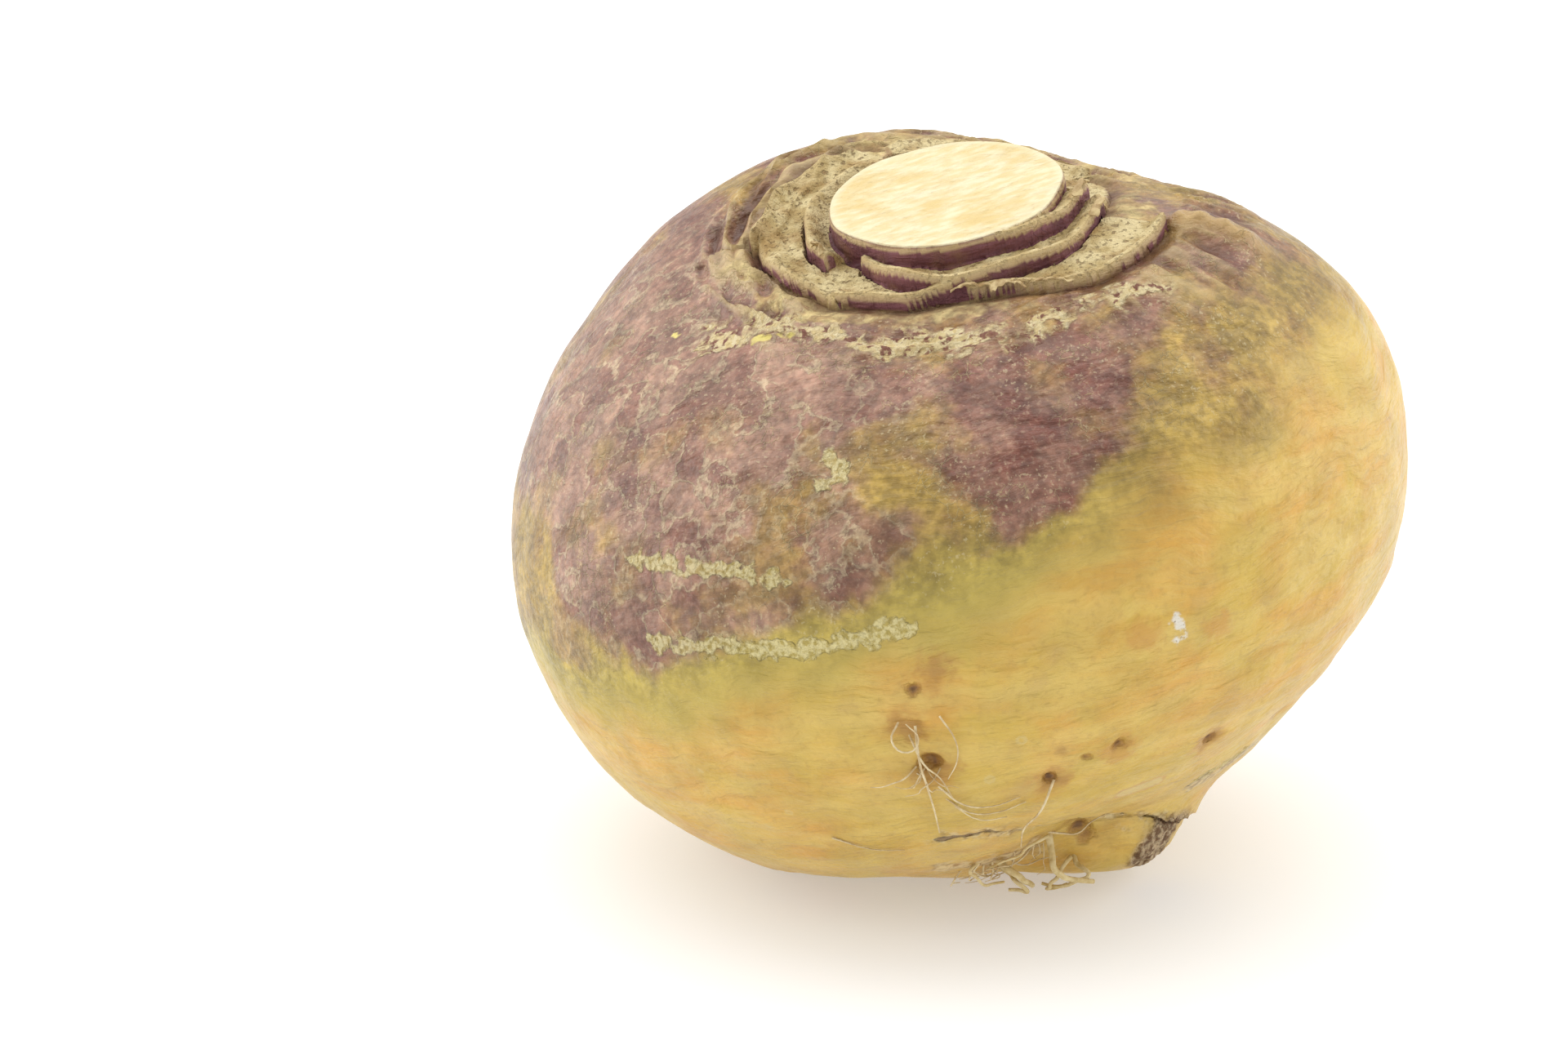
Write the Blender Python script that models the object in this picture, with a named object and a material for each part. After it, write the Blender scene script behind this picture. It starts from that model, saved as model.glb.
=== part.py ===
# A rutabaga: one swollen root with a cut, ridged crown on top and a cut tap-root stub below.
# +Z is up, the front faces -Y. Sizes below are millimetres and degrees; the mesh is in metres.
# Azimuths turn from +X (the right) through +Y (the back). Polar angles run from the crown (0) to
# the root tip (180).

import math
import random

import bpy
import numpy as np

NODE = "rutabaga"
MILLIMETRE = 0.001

# ---- body ----
CENTRE_HEIGHT = 52.0  # from the table to the point that the profiles are measured from
PROFILE_STEP = 20.0  # degrees between the radii in a profile
PROFILES = {
    "right": [43.5, 49, 56.5, 64, 67.5, 66, 62.5, 56, 55, 53],
    "back": [43.5, 49.5, 59.5, 62, 63, 62, 60, 57, 54.5, 53],
    "left": [43.5, 44, 50.5, 60, 67, 66.5, 62.5, 56.5, 56.5, 53],
    "front": [43.5, 44, 48, 55.5, 61.5, 62, 60, 55.5, 53.5, 53],
}
CROWN_LEAN = (-3.5, 0.0)  # how far the body's axis leans at the crown, about Y and about X
ROOT_LEAN = (-26.0, -9.0)  # the same at the root tip, which points right and a little forward
# (azimuth, polar, spread, rise): broad swells and hollows on the body
SWELLS = [
    (135, 48, 24, 7.5),  # high shoulder behind the crown on the left
    (45, 48, 24, -2.5),
    (-135, 45, 22, -1.5),
]

# ---- root stub ----
STUB_AXIS = (22.0, -19.0, -46.0)  # from the body's centre
STUB_RISE = 5.5
STUB_INNER = 8.0  # degrees from the axis where the stub is full, and where it starts
STUB_OUTER = 20.0
END_POINT = (28.5, -21.0, -44.3)  # on the rough face where the tap root was cut
END_NORMAL = (0.74, -0.24, -0.63)
END_SPREAD = 11.0  # degrees from the axis that the cut face reaches, and then fades over
END_FADE = 9.0
STEEPEST_FACING = 0.2
# The fold where the body bulges over the stub: points along it, and its depth at each
FOLD = [(33, -16, -41, 1.0), (28, -27, -38, 1.6), (14, -40, -33, 1.6), (3, -49, -30, 0.3)]
FOLD_WIDTH = 1.8
HOLLOW_SPOT = (13.0, -34.0, -38.0)  # the body pulls in here, between the fold and the stub
HOLLOW_DEPTH = 2.2
HOLLOW_SPREAD = 8.0

# ---- crown ----
CROWN_CENTRE = (-3.1, -3.0, 48.6)  # middle of the cut face, from the body's centre
CROWN_NORMAL = (-0.14, -0.16, 0.977)
CUT_RADIUS = 17.0
WALL_SLOPE = 6.0  # how steeply each ridge drops outside its lip
CUP_DEPTH = 0.7  # how far a scar's shelf dips behind its lip
CUP_WIDTH = 3.4
LIP_ROUNDING = 5.0  # degrees over which a lip's corners are rounded
# Leaf-scar ridges: (azimuth, radius, depth below the cut face) along each lip
SCAR_LIPS = [
    [(-62, 17.0, 0.3), (-45, 18.6, 0.4), (-20, 19.3, 0.8), (0, 21.4, 1.0)],
    [(-131, 16.8, 2.1), (-117, 18.8, 2.2), (-95, 21.6, 2.4)]
    + [(-65, 22.2, 2.4), (-44, 23.6, 2.4), (-6, 22.7, 2.2)],
    [(-88, 20.8, 4.2), (-66, 24.8, 4.5), (-50, 30.0, 4.6), (-36, 31.8, 4.5), (-14, 32.4, 4.0)],
    [(-130, 24.3, 4.3), (-112, 23.4, 4.3), (-86, 22.2, 3.9)],
    [(-182, 26.6, 4.8), (-163, 25.6, 5.0), (-128, 24.8, 5.0)],
    [(-238, 20.0, 1.4), (-205, 20.8, 1.8), (-180, 19.4, 2.0), (-147, 19.6, 2.5)],
    [(-240, 26.0, 2.8), (-218, 26.9, 3.0), (-204, 26.8, 3.2), (-188, 28.6, 3.8)],
]
LEAF_TURN = 137.5  # each leaf grew this far round from the last
BACK_SCARS = 15
BACK_SECTOR = (8.0, 150.0)  # the leaves that fall in this sector made the scars behind the cut
BACK_FIRST = (52.0, 20.4, 2.6)  # azimuth, radius and depth of the first
BACK_GROWTH = (0.9, 0.3)  # what each later leaf adds to the radius and the depth
BACK_TILT = 2.0  # the right-hand scars lie this much lower still, and the left-hand ones higher
BACK_HALF_SPAN = 31.0
SEED = 9
RIDGE_AZIMUTH = -11.0  # one thick fold runs out over the right shoulder
RIDGE_REACH = (33.0, 50.0)
RIDGE_HALF_WIDTH = 2.6
RIDGE_RISE = 1.9
RIDGE_FADES = (4.0, 8.0)  # how gently it starts and ends
RIDGE_LUMPS = (0.25, 3.3)  # how uneven it is, and the length of one lump

# ---- mesh ----
CROWN_SIDES = 128
BODY_SIDES = 64
CUT_RINGS = [7.0, 13.0, 16.4]
WALL_FOOT = 0.75  # from the cut's rim to the foot of the wall round it
CROWN_RING_STEP = 0.85
CROWN_FINE_RADIUS = 32.0
CROWN_EDGE_RADIUS = 38.0
CROWN_COARSE_STEP = 1.6
BODY_RING_STEP = 6.0
STUB_RING_STEP = 2.3
STUB_START = 146.0
CIRCLES_TO_BODY = (40.0, 70.0)  # polar angles over which crown circles turn into body rings
CORRECTIONS = 12  # repeats that bring a point onto the body
BELOW_CUT = 7.0  # where those repeats start, under the cut face

# ---- rootlets ----
ROOTLET_SIDES = 5
ROOTLET_STEPS = 9
ROOTLET_TAPER = 0.55
ROOTLET_GUIDE = (0.3, 1.0, 0.1)  # a rootlet's section is laid out square to this
SUNK = 2.5  # how far a rootlet's root goes into the body
# (thickness, points from the body's centre)
ROOTLETS = [
    (2.0, [(6, -34, -41), (6.5, -36, -43.3), (8.5, -34.5, -46), (11, -32, -47.6)]),
    (2.2, [(13, -31, -41), (12.4, -35, -43), (14.5, -34.5, -46), (19, -31.5, -47.8)]),
    (1.4, [(19, -28, -45), (20.6, -31, -46.2), (18.5, -31, -48), (14, -30, -48.4)]),
    (1.3, [(3, -38, -39), (2, -40.5, -41.2), (3.6, -39.5, -44), (7.5, -36, -46)]),
]


def unit(vector):
    vector = np.asarray(vector, float)
    return vector / np.linalg.norm(vector, axis=-1, keepdims=True)


def ease(x):
    x = np.clip(x, 0, 1)
    return x * x * (3 - 2 * x)


def toward(azimuth, polar):
    azimuth, polar = math.radians(azimuth), math.radians(polar)
    flat = math.sin(polar)
    return np.array([flat * math.cos(azimuth), flat * math.sin(azimuth), math.cos(polar)])


CROWN_UP = unit(CROWN_NORMAL)
CROWN_RIGHT = unit(np.array([1.0, 0, 0]) - CROWN_UP * CROWN_UP[0])
CROWN_BACK = np.cross(CROWN_UP, CROWN_RIGHT)


# ---- the body as a radius in every direction ----


def spline(values, place):
    """A smooth cubic curve led by evenly spaced values."""
    values = np.asarray(values, float)
    first = np.clip(np.floor(place).astype(int), 0, len(values) - 2)
    u = place - first
    ends = np.concatenate([[2 * values[0] - values[1]], values, [2 * values[-1] - values[-2]]])
    near = ends[first] * (1 - u) ** 3 + ends[first + 1] * (3 * u**3 - 6 * u**2 + 4)
    far = ends[first + 2] * (-3 * u**3 + 3 * u**2 + 3 * u + 1) + ends[first + 3] * u**3
    return (near + far) / 6


def leans(polar):
    along = ease(polar / math.pi)
    pairs = zip(CROWN_LEAN, ROOT_LEAN)
    return [math.radians(crown) + math.radians(root - crown) * along for crown, root in pairs]


def turned(a, b, angle):
    return a * np.cos(angle) + b * np.sin(angle), b * np.cos(angle) - a * np.sin(angle)


def direction(polar, azimuth):
    """The direction that a polar angle and an azimuth have on the leaning axis."""
    lean_right, lean_forward = leans(polar)
    x, y, z = np.sin(polar) * np.cos(azimuth), np.sin(polar) * np.sin(azimuth), np.cos(polar)
    x, z = turned(x, z, lean_right)
    y, z = turned(y, z, -lean_forward)
    return np.stack([x, y, z], -1)


def angles_of(way):
    """The reverse of direction, found by repeated correction."""
    polar = np.arccos(np.clip(way[..., 2], -1, 1))
    for _ in range(CORRECTIONS):
        lean_right, lean_forward = leans(polar)
        y, z = turned(way[..., 1], way[..., 2], lean_forward)
        x, z = turned(way[..., 0], z, -lean_right)
        polar = np.arccos(np.clip(z, -1, 1))
    return polar, np.arctan2(y, x)


def body_radius(polar, azimuth):
    place = np.degrees(polar) / PROFILE_STEP
    right, back = np.cos(azimuth), np.sin(azimuth)
    shares = {"right": right, "back": back, "left": -right, "front": -back}
    radius = 0
    for side, share in shares.items():
        radius = radius + np.maximum(share, 0) ** 2 * spline(PROFILES[side], place)
    way = np.stack([np.sin(polar) * right, np.sin(polar) * back, np.cos(polar)], -1)
    for swell_azimuth, swell_polar, spread, rise in SWELLS:
        angle = angle_between(way, toward(swell_azimuth, swell_polar))
        radius = radius + rise * np.exp(-0.5 * (angle / spread) ** 2)
    return radius


def angle_between(way, axis):
    return np.degrees(np.arccos(np.clip(way @ unit(axis), -1, 1)))


def fold_depth(points):
    """How deep the fold is at each point: a groove along its line."""
    fold = np.array(FOLD, float)
    depth = np.zeros(points.shape[:-1])
    for start, end in zip(fold, fold[1:]):
        run = end[:3] - start[:3]
        along = np.clip((points - start[:3]) @ run / (run @ run), 0, 1)
        gap = np.linalg.norm(points - start[:3] - along[..., None] * run, axis=-1)
        groove = (start[3] + (end[3] - start[3]) * along) * np.exp(-((gap / FOLD_WIDTH) ** 2))
        depth = np.maximum(depth, groove)
    return depth


def with_stub(radius, way):
    """Adds the tap-root stub, the fold and hollow over it and its cut end."""
    radius = radius - HOLLOW_DEPTH * np.exp(-0.5 * (angle_between(way, HOLLOW_SPOT) / HOLLOW_SPREAD) ** 2)
    radius = radius - fold_depth(radius[..., None] * way)
    off_axis = angle_between(way, STUB_AXIS)
    radius = radius + STUB_RISE * ease((STUB_OUTER - off_axis) / (STUB_OUTER - STUB_INNER))
    normal = unit(END_NORMAL)
    cut = (END_POINT @ normal) / np.maximum(way @ normal, STEEPEST_FACING)
    return np.minimum(radius, cut + END_FADE * ease((off_axis - END_SPREAD) / END_SPREAD))


# ---- the crown as a height over its own plane ----


def back_scar_lips():
    """Crescents behind the cut, in the order that leaves grow."""
    draw = random.Random(SEED)
    lips = []
    for leaf in range(BACK_SCARS):
        azimuth = (BACK_FIRST[0] + LEAF_TURN * leaf) % 360
        if not BACK_SECTOR[0] < azimuth < BACK_SECTOR[1]:
            continue
        radius = BACK_FIRST[1] + BACK_GROWTH[0] * leaf
        depth = BACK_FIRST[2] + BACK_GROWTH[1] * leaf + BACK_TILT * math.cos(math.radians(azimuth))
        half = BACK_HALF_SPAN * draw.uniform(0.85, 1.15)
        end_radius = radius - draw.uniform(1.0, 2.2)
        right_tip = (azimuth - half, end_radius, depth + 0.5)
        left_tip = (azimuth + half, end_radius, depth + 0.4)
        lips.append([right_tip, (azimuth, radius, depth), left_tip])
    return lips


def lip_at(lip, azimuth):
    """A lip's radius and depth at each azimuth, and how many degrees the azimuth is past its ends."""
    azimuths, radii, depths = (np.array(column, float) for column in zip(*lip))
    middle = (azimuths[0] + azimuths[-1]) / 2
    azimuth = (azimuth - middle + 180) % 360 - 180 + middle
    taps = [azimuth + LIP_ROUNDING * k for k in (-1, -0.5, 0, 0.5, 1)]
    lip_radius = sum(np.interp(tap, azimuths, radii) for tap in taps) / len(taps)
    depth = sum(np.interp(tap, azimuths, depths) for tap in taps) / len(taps)
    past_end = np.maximum(azimuths[0] - azimuth, azimuth - azimuths[-1])
    return lip_radius, depth, np.maximum(past_end, 0)


def lip_height(lip, radius, azimuth):
    """Height of one scar: a cupped shelf inside its lip, a steep wall outside it and past its ends."""
    lip_radius, depth, past_end = lip_at(lip, azimuth)
    inside = lip_radius - radius
    cup = CUP_DEPTH * np.sin(math.pi * np.clip(inside / CUP_WIDTH, 0, 1)) ** 2
    drop = np.maximum(-inside, 0) + np.radians(past_end) * radius
    return -depth - cup - WALL_SLOPE * drop


def drawn_to_lips(radius, azimuth, reach):
    """Radii within reach of a lip, moved onto it, so that a ring of points follows each lip."""
    moved, nearest = radius.copy(), np.full(radius.shape, reach)
    for lip in SCAR_LIPS + back_scar_lips():
        lip_radius, _, past_end = lip_at(lip, azimuth)
        gap = np.abs(lip_radius - radius)
        near = (gap < nearest) & (past_end == 0)
        moved, nearest = np.where(near, lip_radius, moved), np.where(near, gap, nearest)
    return moved


def crown_height(radius, azimuth):
    """Height of the highest scar, or of the cut face, over each point of the crown's plane."""
    height = -WALL_SLOPE * np.maximum(radius - CUT_RADIUS, 0)
    for lip in SCAR_LIPS + back_scar_lips():
        height = np.maximum(height, lip_height(lip, radius, azimuth))
    return height


def ridge_rise(radius, azimuth):
    across = np.radians(azimuth - RIDGE_AZIMUTH) * radius / RIDGE_HALF_WIDTH
    start, end = RIDGE_REACH
    along = ease((radius - start) / RIDGE_FADES[0] + 0.5) * ease((end - radius) / RIDGE_FADES[1])
    lumps = 1 + RIDGE_LUMPS[0] * np.sin(2 * math.pi * radius / RIDGE_LUMPS[1])
    return RIDGE_RISE * lumps * along * np.exp(-across * across)


def with_crown(points):
    """Lifts the top of the body to the cut face and its ridges."""
    offset = points - CROWN_CENTRE
    x, y, height = offset @ CROWN_RIGHT, offset @ CROWN_BACK, offset @ CROWN_UP
    radius, azimuth = np.hypot(x, y), np.degrees(np.arctan2(y, x))
    over = points[..., 2] > 0
    lift = np.maximum(crown_height(radius, azimuth) - height, 0) + ridge_rise(radius, azimuth)
    return points + (lift * over)[..., None] * CROWN_UP


# ---- rings of points ----


def on_body(polar, azimuth):
    way = direction(polar, azimuth)
    return with_stub(body_radius(polar, azimuth), way)[..., None] * way


def on_circle(radius, azimuth):
    """The body's points under a circle round the crown's centre."""
    flat = np.cos(azimuth)[..., None] * CROWN_RIGHT + np.sin(azimuth)[..., None] * CROWN_BACK
    point = CROWN_CENTRE + np.reshape(radius, (-1, 1)) * flat - BELOW_CUT * CROWN_UP
    for _ in range(CORRECTIONS):
        distance = np.linalg.norm(point, axis=-1)
        way = point / distance[..., None]
        miss = body_radius(*angles_of(way)) - distance
        point = point + (miss / (way @ CROWN_UP))[..., None] * CROWN_UP
    return point


def circle_radius(polar):
    """The radius of the crown circle that a body ring near it matches."""
    around = np.linspace(0, 2 * math.pi, 16, endpoint=False)
    return math.sin(polar) * float(np.mean(body_radius(np.full(16, polar), around)))


def body_ring(polar_degrees, sides):
    azimuth = np.linspace(0, 2 * math.pi, sides, endpoint=False)
    polar = np.full(sides, math.radians(polar_degrees))
    start, end = CIRCLES_TO_BODY
    share = ease((polar_degrees - start) / (end - start))
    ring = on_body(polar, azimuth)
    if share < 1:
        ring = share * ring + (1 - share) * on_circle(circle_radius(polar[0]), azimuth)
    return ring


def crown_ring(radius, sides):
    azimuth = np.linspace(0, 2 * math.pi, sides, endpoint=False)
    radius = np.full(sides, float(radius))
    if radius[0] > CUT_RADIUS:
        radius = drawn_to_lips(radius, np.degrees(azimuth), CROWN_RING_STEP / 2)
    return on_circle(radius, azimuth)


def crown_radii():
    radii = CUT_RINGS + [CUT_RADIUS]
    radius = CUT_RADIUS + WALL_FOOT
    while radius < CROWN_FINE_RADIUS:
        radii.append(radius)
        radius += CROWN_RING_STEP
    while radius < CROWN_EDGE_RADIUS:
        radii.append(radius)
        radius += CROWN_COARSE_STEP
    return radii


def body_polars():
    first = next(p for p in range(180) if circle_radius(math.radians(p)) > CROWN_EDGE_RADIUS)
    polars = list(np.arange(first + 2, STUB_START, BODY_RING_STEP))
    return polars + list(np.arange(STUB_START, 180 - STUB_RING_STEP / 2, STUB_RING_STEP))


def on_table(points):
    """What reaches below the table is drawn up to it, which leaves the flat spot."""
    low = np.minimum(points[..., 2], -CENTRE_HEIGHT / 2)
    shrink = np.where(low < -CENTRE_HEIGHT, -CENTRE_HEIGHT / low, 1)
    return points * shrink[..., None]


def band(upper, lower, upper_start, lower_start):
    """Faces between two rings; the upper may have twice the sides of the lower."""
    faces = []
    for i in range(lower):
        following = (i + 1) % lower
        if upper == lower:
            corners = (upper_start + i, lower_start + i, lower_start + following, upper_start + following)
            faces.append(corners)
            continue
        a, b, c = (upper_start + (2 * i + k) % upper for k in range(3))
        d, e = lower_start + i, lower_start + following
        faces += [(a, d, b), (b, d, e), (b, e, c)]
    return faces


def body_mesh():
    rings = [crown_ring(radius, CROWN_SIDES) for radius in crown_radii()]
    rings += [body_ring(polar, BODY_SIDES) for polar in body_polars()]
    top = crown_ring(0.0, 1)
    bottom = on_body(np.array([math.pi]), np.array([0.0]))
    points = on_table(with_crown(np.concatenate([top, *rings, bottom])))
    faces = []
    start = 1
    for i in range(CROWN_SIDES):
        faces.append((0, start + i, start + (i + 1) % CROWN_SIDES))
    for upper, lower in zip(rings, rings[1:]):
        faces += band(len(upper), len(lower), start, start + len(upper))
        start += len(upper)
    last = len(points) - 1
    for i in range(BODY_SIDES):
        faces.append((start + i, last, start + (i + 1) % BODY_SIDES))
    return points, faces


# ---- rootlets ----


def rootlet_mesh(thickness, route):
    """A tapered tube along a smooth curve through the route, closed at both ends."""
    route = np.array(route, float)
    inward = unit(route[0] - route[1])
    route = np.concatenate([[route[0] + SUNK * inward], route])
    ends = np.concatenate([[2 * route[0] - route[1]], route, [2 * route[-1] - route[-2]]])
    centres = []
    for k in range(ROOTLET_STEPS + 1):
        place = k / ROOTLET_STEPS * (len(route) - 1)
        i = min(int(place), len(route) - 2)
        u = place - i
        a, b, c, d = ends[i : i + 4]
        bend = (2 * a - 5 * b + 4 * c - d) * u**2 + (3 * b - a - 3 * c + d) * u**3
        centres.append(b + ((c - a) * u + bend) / 2)
    centres = np.array(centres)
    points = []
    for k, centre in enumerate(centres):
        along = unit(centres[min(k + 1, ROOTLET_STEPS)] - centres[max(k - 1, 0)])
        side = unit(np.cross(along, ROOTLET_GUIDE))
        up = np.cross(side, along)
        reach = thickness / 2 * (1 - ROOTLET_TAPER * k / ROOTLET_STEPS)
        for i in range(ROOTLET_SIDES):
            turn = 2 * math.pi * i / ROOTLET_SIDES
            points.append(centre + reach * (math.cos(turn) * side + math.sin(turn) * up))
    faces = [tuple(range(ROOTLET_SIDES))]
    for k in range(ROOTLET_STEPS):
        faces += band(ROOTLET_SIDES, ROOTLET_SIDES, k * ROOTLET_SIDES, (k + 1) * ROOTLET_SIDES)
    faces.append(tuple(ROOTLET_STEPS * ROOTLET_SIDES + i for i in reversed(range(ROOTLET_SIDES))))
    return np.array(points), faces


# ---- objects ----


def skin_material():
    material = bpy.data.materials.new("skin")
    material.use_nodes = True
    shader = material.node_tree.nodes["Principled BSDF"]
    shader.inputs["Base Color"].default_value = (0.52, 0.37, 0.19, 1)
    shader.inputs["Roughness"].default_value = 0.5
    shader.inputs["Metallic"].default_value = 0.0
    return material


def mesh_object(name, points, faces, shift):
    mesh = bpy.data.meshes.new(name)
    mesh.from_pydata(((points + shift) * MILLIMETRE).tolist(), [], faces)
    mesh.validate()
    made = bpy.data.objects.new(name, mesh)
    bpy.context.scene.collection.objects.link(made)
    return made


def outward(made):
    """Turns a closed mesh's faces outwards."""
    bpy.context.view_layer.objects.active = made
    made.select_set(True)
    bpy.ops.object.mode_set(mode="EDIT")
    bpy.ops.mesh.select_all(action="SELECT")
    bpy.ops.mesh.normals_make_consistent(inside=False)
    bpy.ops.object.mode_set(mode="OBJECT")
    made.select_set(False)


def fuse(body, pieces):
    """Joins the rootlets to the body with one Boolean, then removes them."""
    together = bpy.data.collections.new("rootlets")
    bpy.context.scene.collection.children.link(together)
    for piece in pieces:
        bpy.context.scene.collection.objects.unlink(piece)
        together.objects.link(piece)
    union = body.modifiers.new("rootlets", "BOOLEAN")
    union.operation = "UNION"
    union.operand_type = "COLLECTION"
    union.collection = together
    union.solver = "EXACT"
    bpy.context.view_layer.objects.active = body
    bpy.ops.object.modifier_apply(modifier=union.name)
    for piece in pieces:
        bpy.data.objects.remove(piece)
    bpy.data.collections.remove(together)


def main():
    for old in list(bpy.data.objects):
        bpy.data.objects.remove(old)
    points, faces = body_mesh()
    low, high = points.min(axis=0), points.max(axis=0)
    shift = np.array([-(low[0] + high[0]) / 2, -(low[1] + high[1]) / 2, CENTRE_HEIGHT])
    body = mesh_object(NODE, points, faces, shift)
    outward(body)
    rootlets = []
    for i, (thickness, route) in enumerate(ROOTLETS):
        rootlets.append(mesh_object(f"rootlet_{i}", *rootlet_mesh(thickness, route), shift))
        outward(rootlets[-1])
    fuse(body, rootlets)
    body.data.materials.clear()
    body.data.materials.append(skin_material())
    body.data.shade_smooth()
    body.data.set_sharp_from_angle(angle=math.radians(40))


main()
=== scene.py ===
# Dresses the rutabaga: skin, cut crown with its leaf scars, stub, rootlets, hairs and papery flakes.
# Lengths in the dictionaries are millimetres from the root's centre, and angles are degrees.
import math
import random

import bpy
import numpy as np
from mathutils import Euler, Matrix, Vector, noise


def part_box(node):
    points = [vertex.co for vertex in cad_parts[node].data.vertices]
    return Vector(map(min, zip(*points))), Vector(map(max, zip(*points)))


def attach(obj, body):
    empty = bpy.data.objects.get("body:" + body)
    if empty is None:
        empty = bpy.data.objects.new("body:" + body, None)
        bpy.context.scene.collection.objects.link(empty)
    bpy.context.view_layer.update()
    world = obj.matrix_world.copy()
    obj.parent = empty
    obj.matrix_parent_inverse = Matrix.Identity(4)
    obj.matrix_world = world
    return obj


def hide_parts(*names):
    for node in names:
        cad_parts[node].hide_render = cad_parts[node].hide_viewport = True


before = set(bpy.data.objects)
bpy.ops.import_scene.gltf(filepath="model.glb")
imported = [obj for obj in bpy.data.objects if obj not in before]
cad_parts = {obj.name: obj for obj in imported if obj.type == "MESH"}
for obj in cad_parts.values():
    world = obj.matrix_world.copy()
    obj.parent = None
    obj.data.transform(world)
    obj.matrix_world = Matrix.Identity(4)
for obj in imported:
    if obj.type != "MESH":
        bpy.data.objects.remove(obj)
cadLow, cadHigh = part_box("rutabaga")
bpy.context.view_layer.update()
print("frame loaded")

mm = 0.001
rootForm = {
    "name": "rutabagaSkin",
    "centreHeight": 52.0,  # above the table
    "segments": 256,
    "rings": 186,
    "crownRings": 52,  # these are split once more,
    "finePatches": [(-112, -42, 101, 133), (-95, -5, 153, 179)],  # as these turns and rings are
    "profileStep": 20.0,
    "right": [43.5, 49, 56.5, 64, 67.5, 66, 62.5, 56, 55, 53],
    "back": [43.5, 49.5, 59.5, 62, 63, 62, 60, 57, 54.5, 53],
    "left": [43.5, 44, 50.5, 60, 67, 66.5, 62.5, 56.5, 56.5, 53],
    "front": [43.5, 44, 48, 55.5, 61.5, 62, 60, 55.5, 53.5, 53],
    "crownLean": (-3.5, 0.0),
    "rootLean": (-26.0, -9.0),
    "swells": [(135, 48, 24, 7.5), (45, 48, 24, -2.5), (-135, 45, 22, -1.5)],
    "lumps": [(16.0, 0.5), (6.5, 0.22), (3.0, 0.08)],  # size and height of the uneven skin
    "ringCreases": [(0.55, 7.0, 0.016), (0.30, 3.2, 0.03)],  # depth, spacing and turn of faint rings below
}
stubForm = {
    "axis": (22.0, -19.0, -46.0),
    "rise": 5.5,
    "inner": 8.0,
    "outer": 20.0,
    "endPoint": (30.0, -21.0, -44.3),
    "endNormal": (0.80, -0.40, -0.45),
    "endSpread": 11.0,
    "endFade": 9.0,
    "endRoughness": 0.6,
    "endCentre": (28.0, -25.5, -44.5),
    "endReach": 9.6,
    "underside": (0.0, -0.33, -0.944, 52.6),  # the front of the belly and the stub rise off the table
    "fold": [
        (33, -16, -41, 1.6),
        (28, -28, -37, 2.6),
        (14, -41, -32.5, 2.8),
        (3, -49, -31, 0.9),
        (-3, -51, -32, 0),
    ],
    "foldReach": 54.0,
    "foldEdge": 0.5,  # how sharply the body's side of the fold drops,
    "foldSlope": 3.6,  # and how gently the stub's side climbs back
    "hollow": (13.0, -34.0, -38.0, 2.2, 8.0),
}
crownForm = {
    "centre": (-3.1, -3.0, 48.6),
    "normal": (-0.14, -0.16, 0.977),
    "cutRadius": 16.7,
    "edge": 38.0,
    "wallSlope": 7.0,
    "bulge": 0.45,  # walls swell out just under their lips,
    "undercut": 0.20,  # then lean in by this much for each millimetre that they drop
    "cupDepth": 1.25,  # the groove behind each lip
    "cupWidth": 2.4,
    "beadHeight": 0.12,
    "beadWidth": 0.45,
    "trench": 1.0,  # the body sinks by this much along the foot of the outer walls
    "trenchWidth": 1.8,
    "skew": (10.0, 1.0),  # the cut reaches further to this side, by this much
    "rounding": 5.0,
    "wobble": 0.30,  # unevenness of each lip's line
    "depthWobble": 0.28,
    # wrinkled crust beside the cut:
    # (azimuth, half width, inner and outer radius, rise, radial and sideways size)
    "wrinkles": [
        (172, 62, 23, 38, 1.8, 2.8, 12.0),
        (-12, 46, 33, 48, 0.9, 12.0, 2.8),
        (75, 60, 24, 38, 1.1, 3.0, 9.0),
        (-90, 60, 27, 41, 0.55, 2.2, 9.0),
    ],
    "deepGrooves": {2: 1.2, 4: 2.2, 5: 1.6, 6: 2.6},  # lips whose groove is deeper by this factor
    "terraces": {4: (3.2, 1.2), 6: (3.2, 1.2)},  # lips with a flat top this wide before a groove this wide
    # (azimuth, radius, depth under the cut) along each leaf scar's lip
    "lips": [
        [(-62, 17.0, 0.3), (-45, 18.6, 0.4), (-20, 19.3, 0.8), (0, 21.4, 1.0)],
        [(-131, 16.8, 2.1), (-117, 18.8, 2.2), (-95, 21.6, 2.4)]
        + [(-65, 22.2, 2.4), (-44, 23.6, 2.4), (-6, 22.7, 2.2)],
        [(-88, 20.8, 4.2), (-66, 24.8, 4.5), (-50, 30.0, 4.6), (-36, 31.8, 4.5), (-14, 32.4, 4.0)],
        [(-130, 24.3, 4.3), (-112, 23.4, 4.3), (-86, 22.2, 3.9)],
        [(-182, 26.8, 3.6), (-163, 25.8, 4.0), (-128, 24.8, 4.8)],
        [(-238, 20.0, 1.4), (-205, 20.8, 1.8), (-180, 19.4, 2.0), (-147, 19.6, 2.5)],
        [(-246, 25.0, 2.2), (-218, 26.4, 2.5), (-200, 26.8, 2.9), (-180, 27.6, 3.6)],
    ],
    "leafTurn": 137.5,
    "backScars": 10,
    "backSector": (8.0, 150.0),
    "backFirst": (52.0, 20.4, 2.6),
    "backGrowth": (0.9, 0.3),
    "backTilt": 4.2,
    "backHalfSpan": 31.0,
    "seed": 9,
    "ridge": {"azimuth": -11.0, "start": 33.0, "end": 50.0, "halfWidth": 2.6, "rise": 1.9},
}


def unit(vector):
    vector = np.asarray(vector, float)
    return vector / np.linalg.norm(vector, axis=-1, keepdims=True)


def ease(x):
    x = np.clip(x, 0, 1)
    return x * x * (3 - 2 * x)


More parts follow.
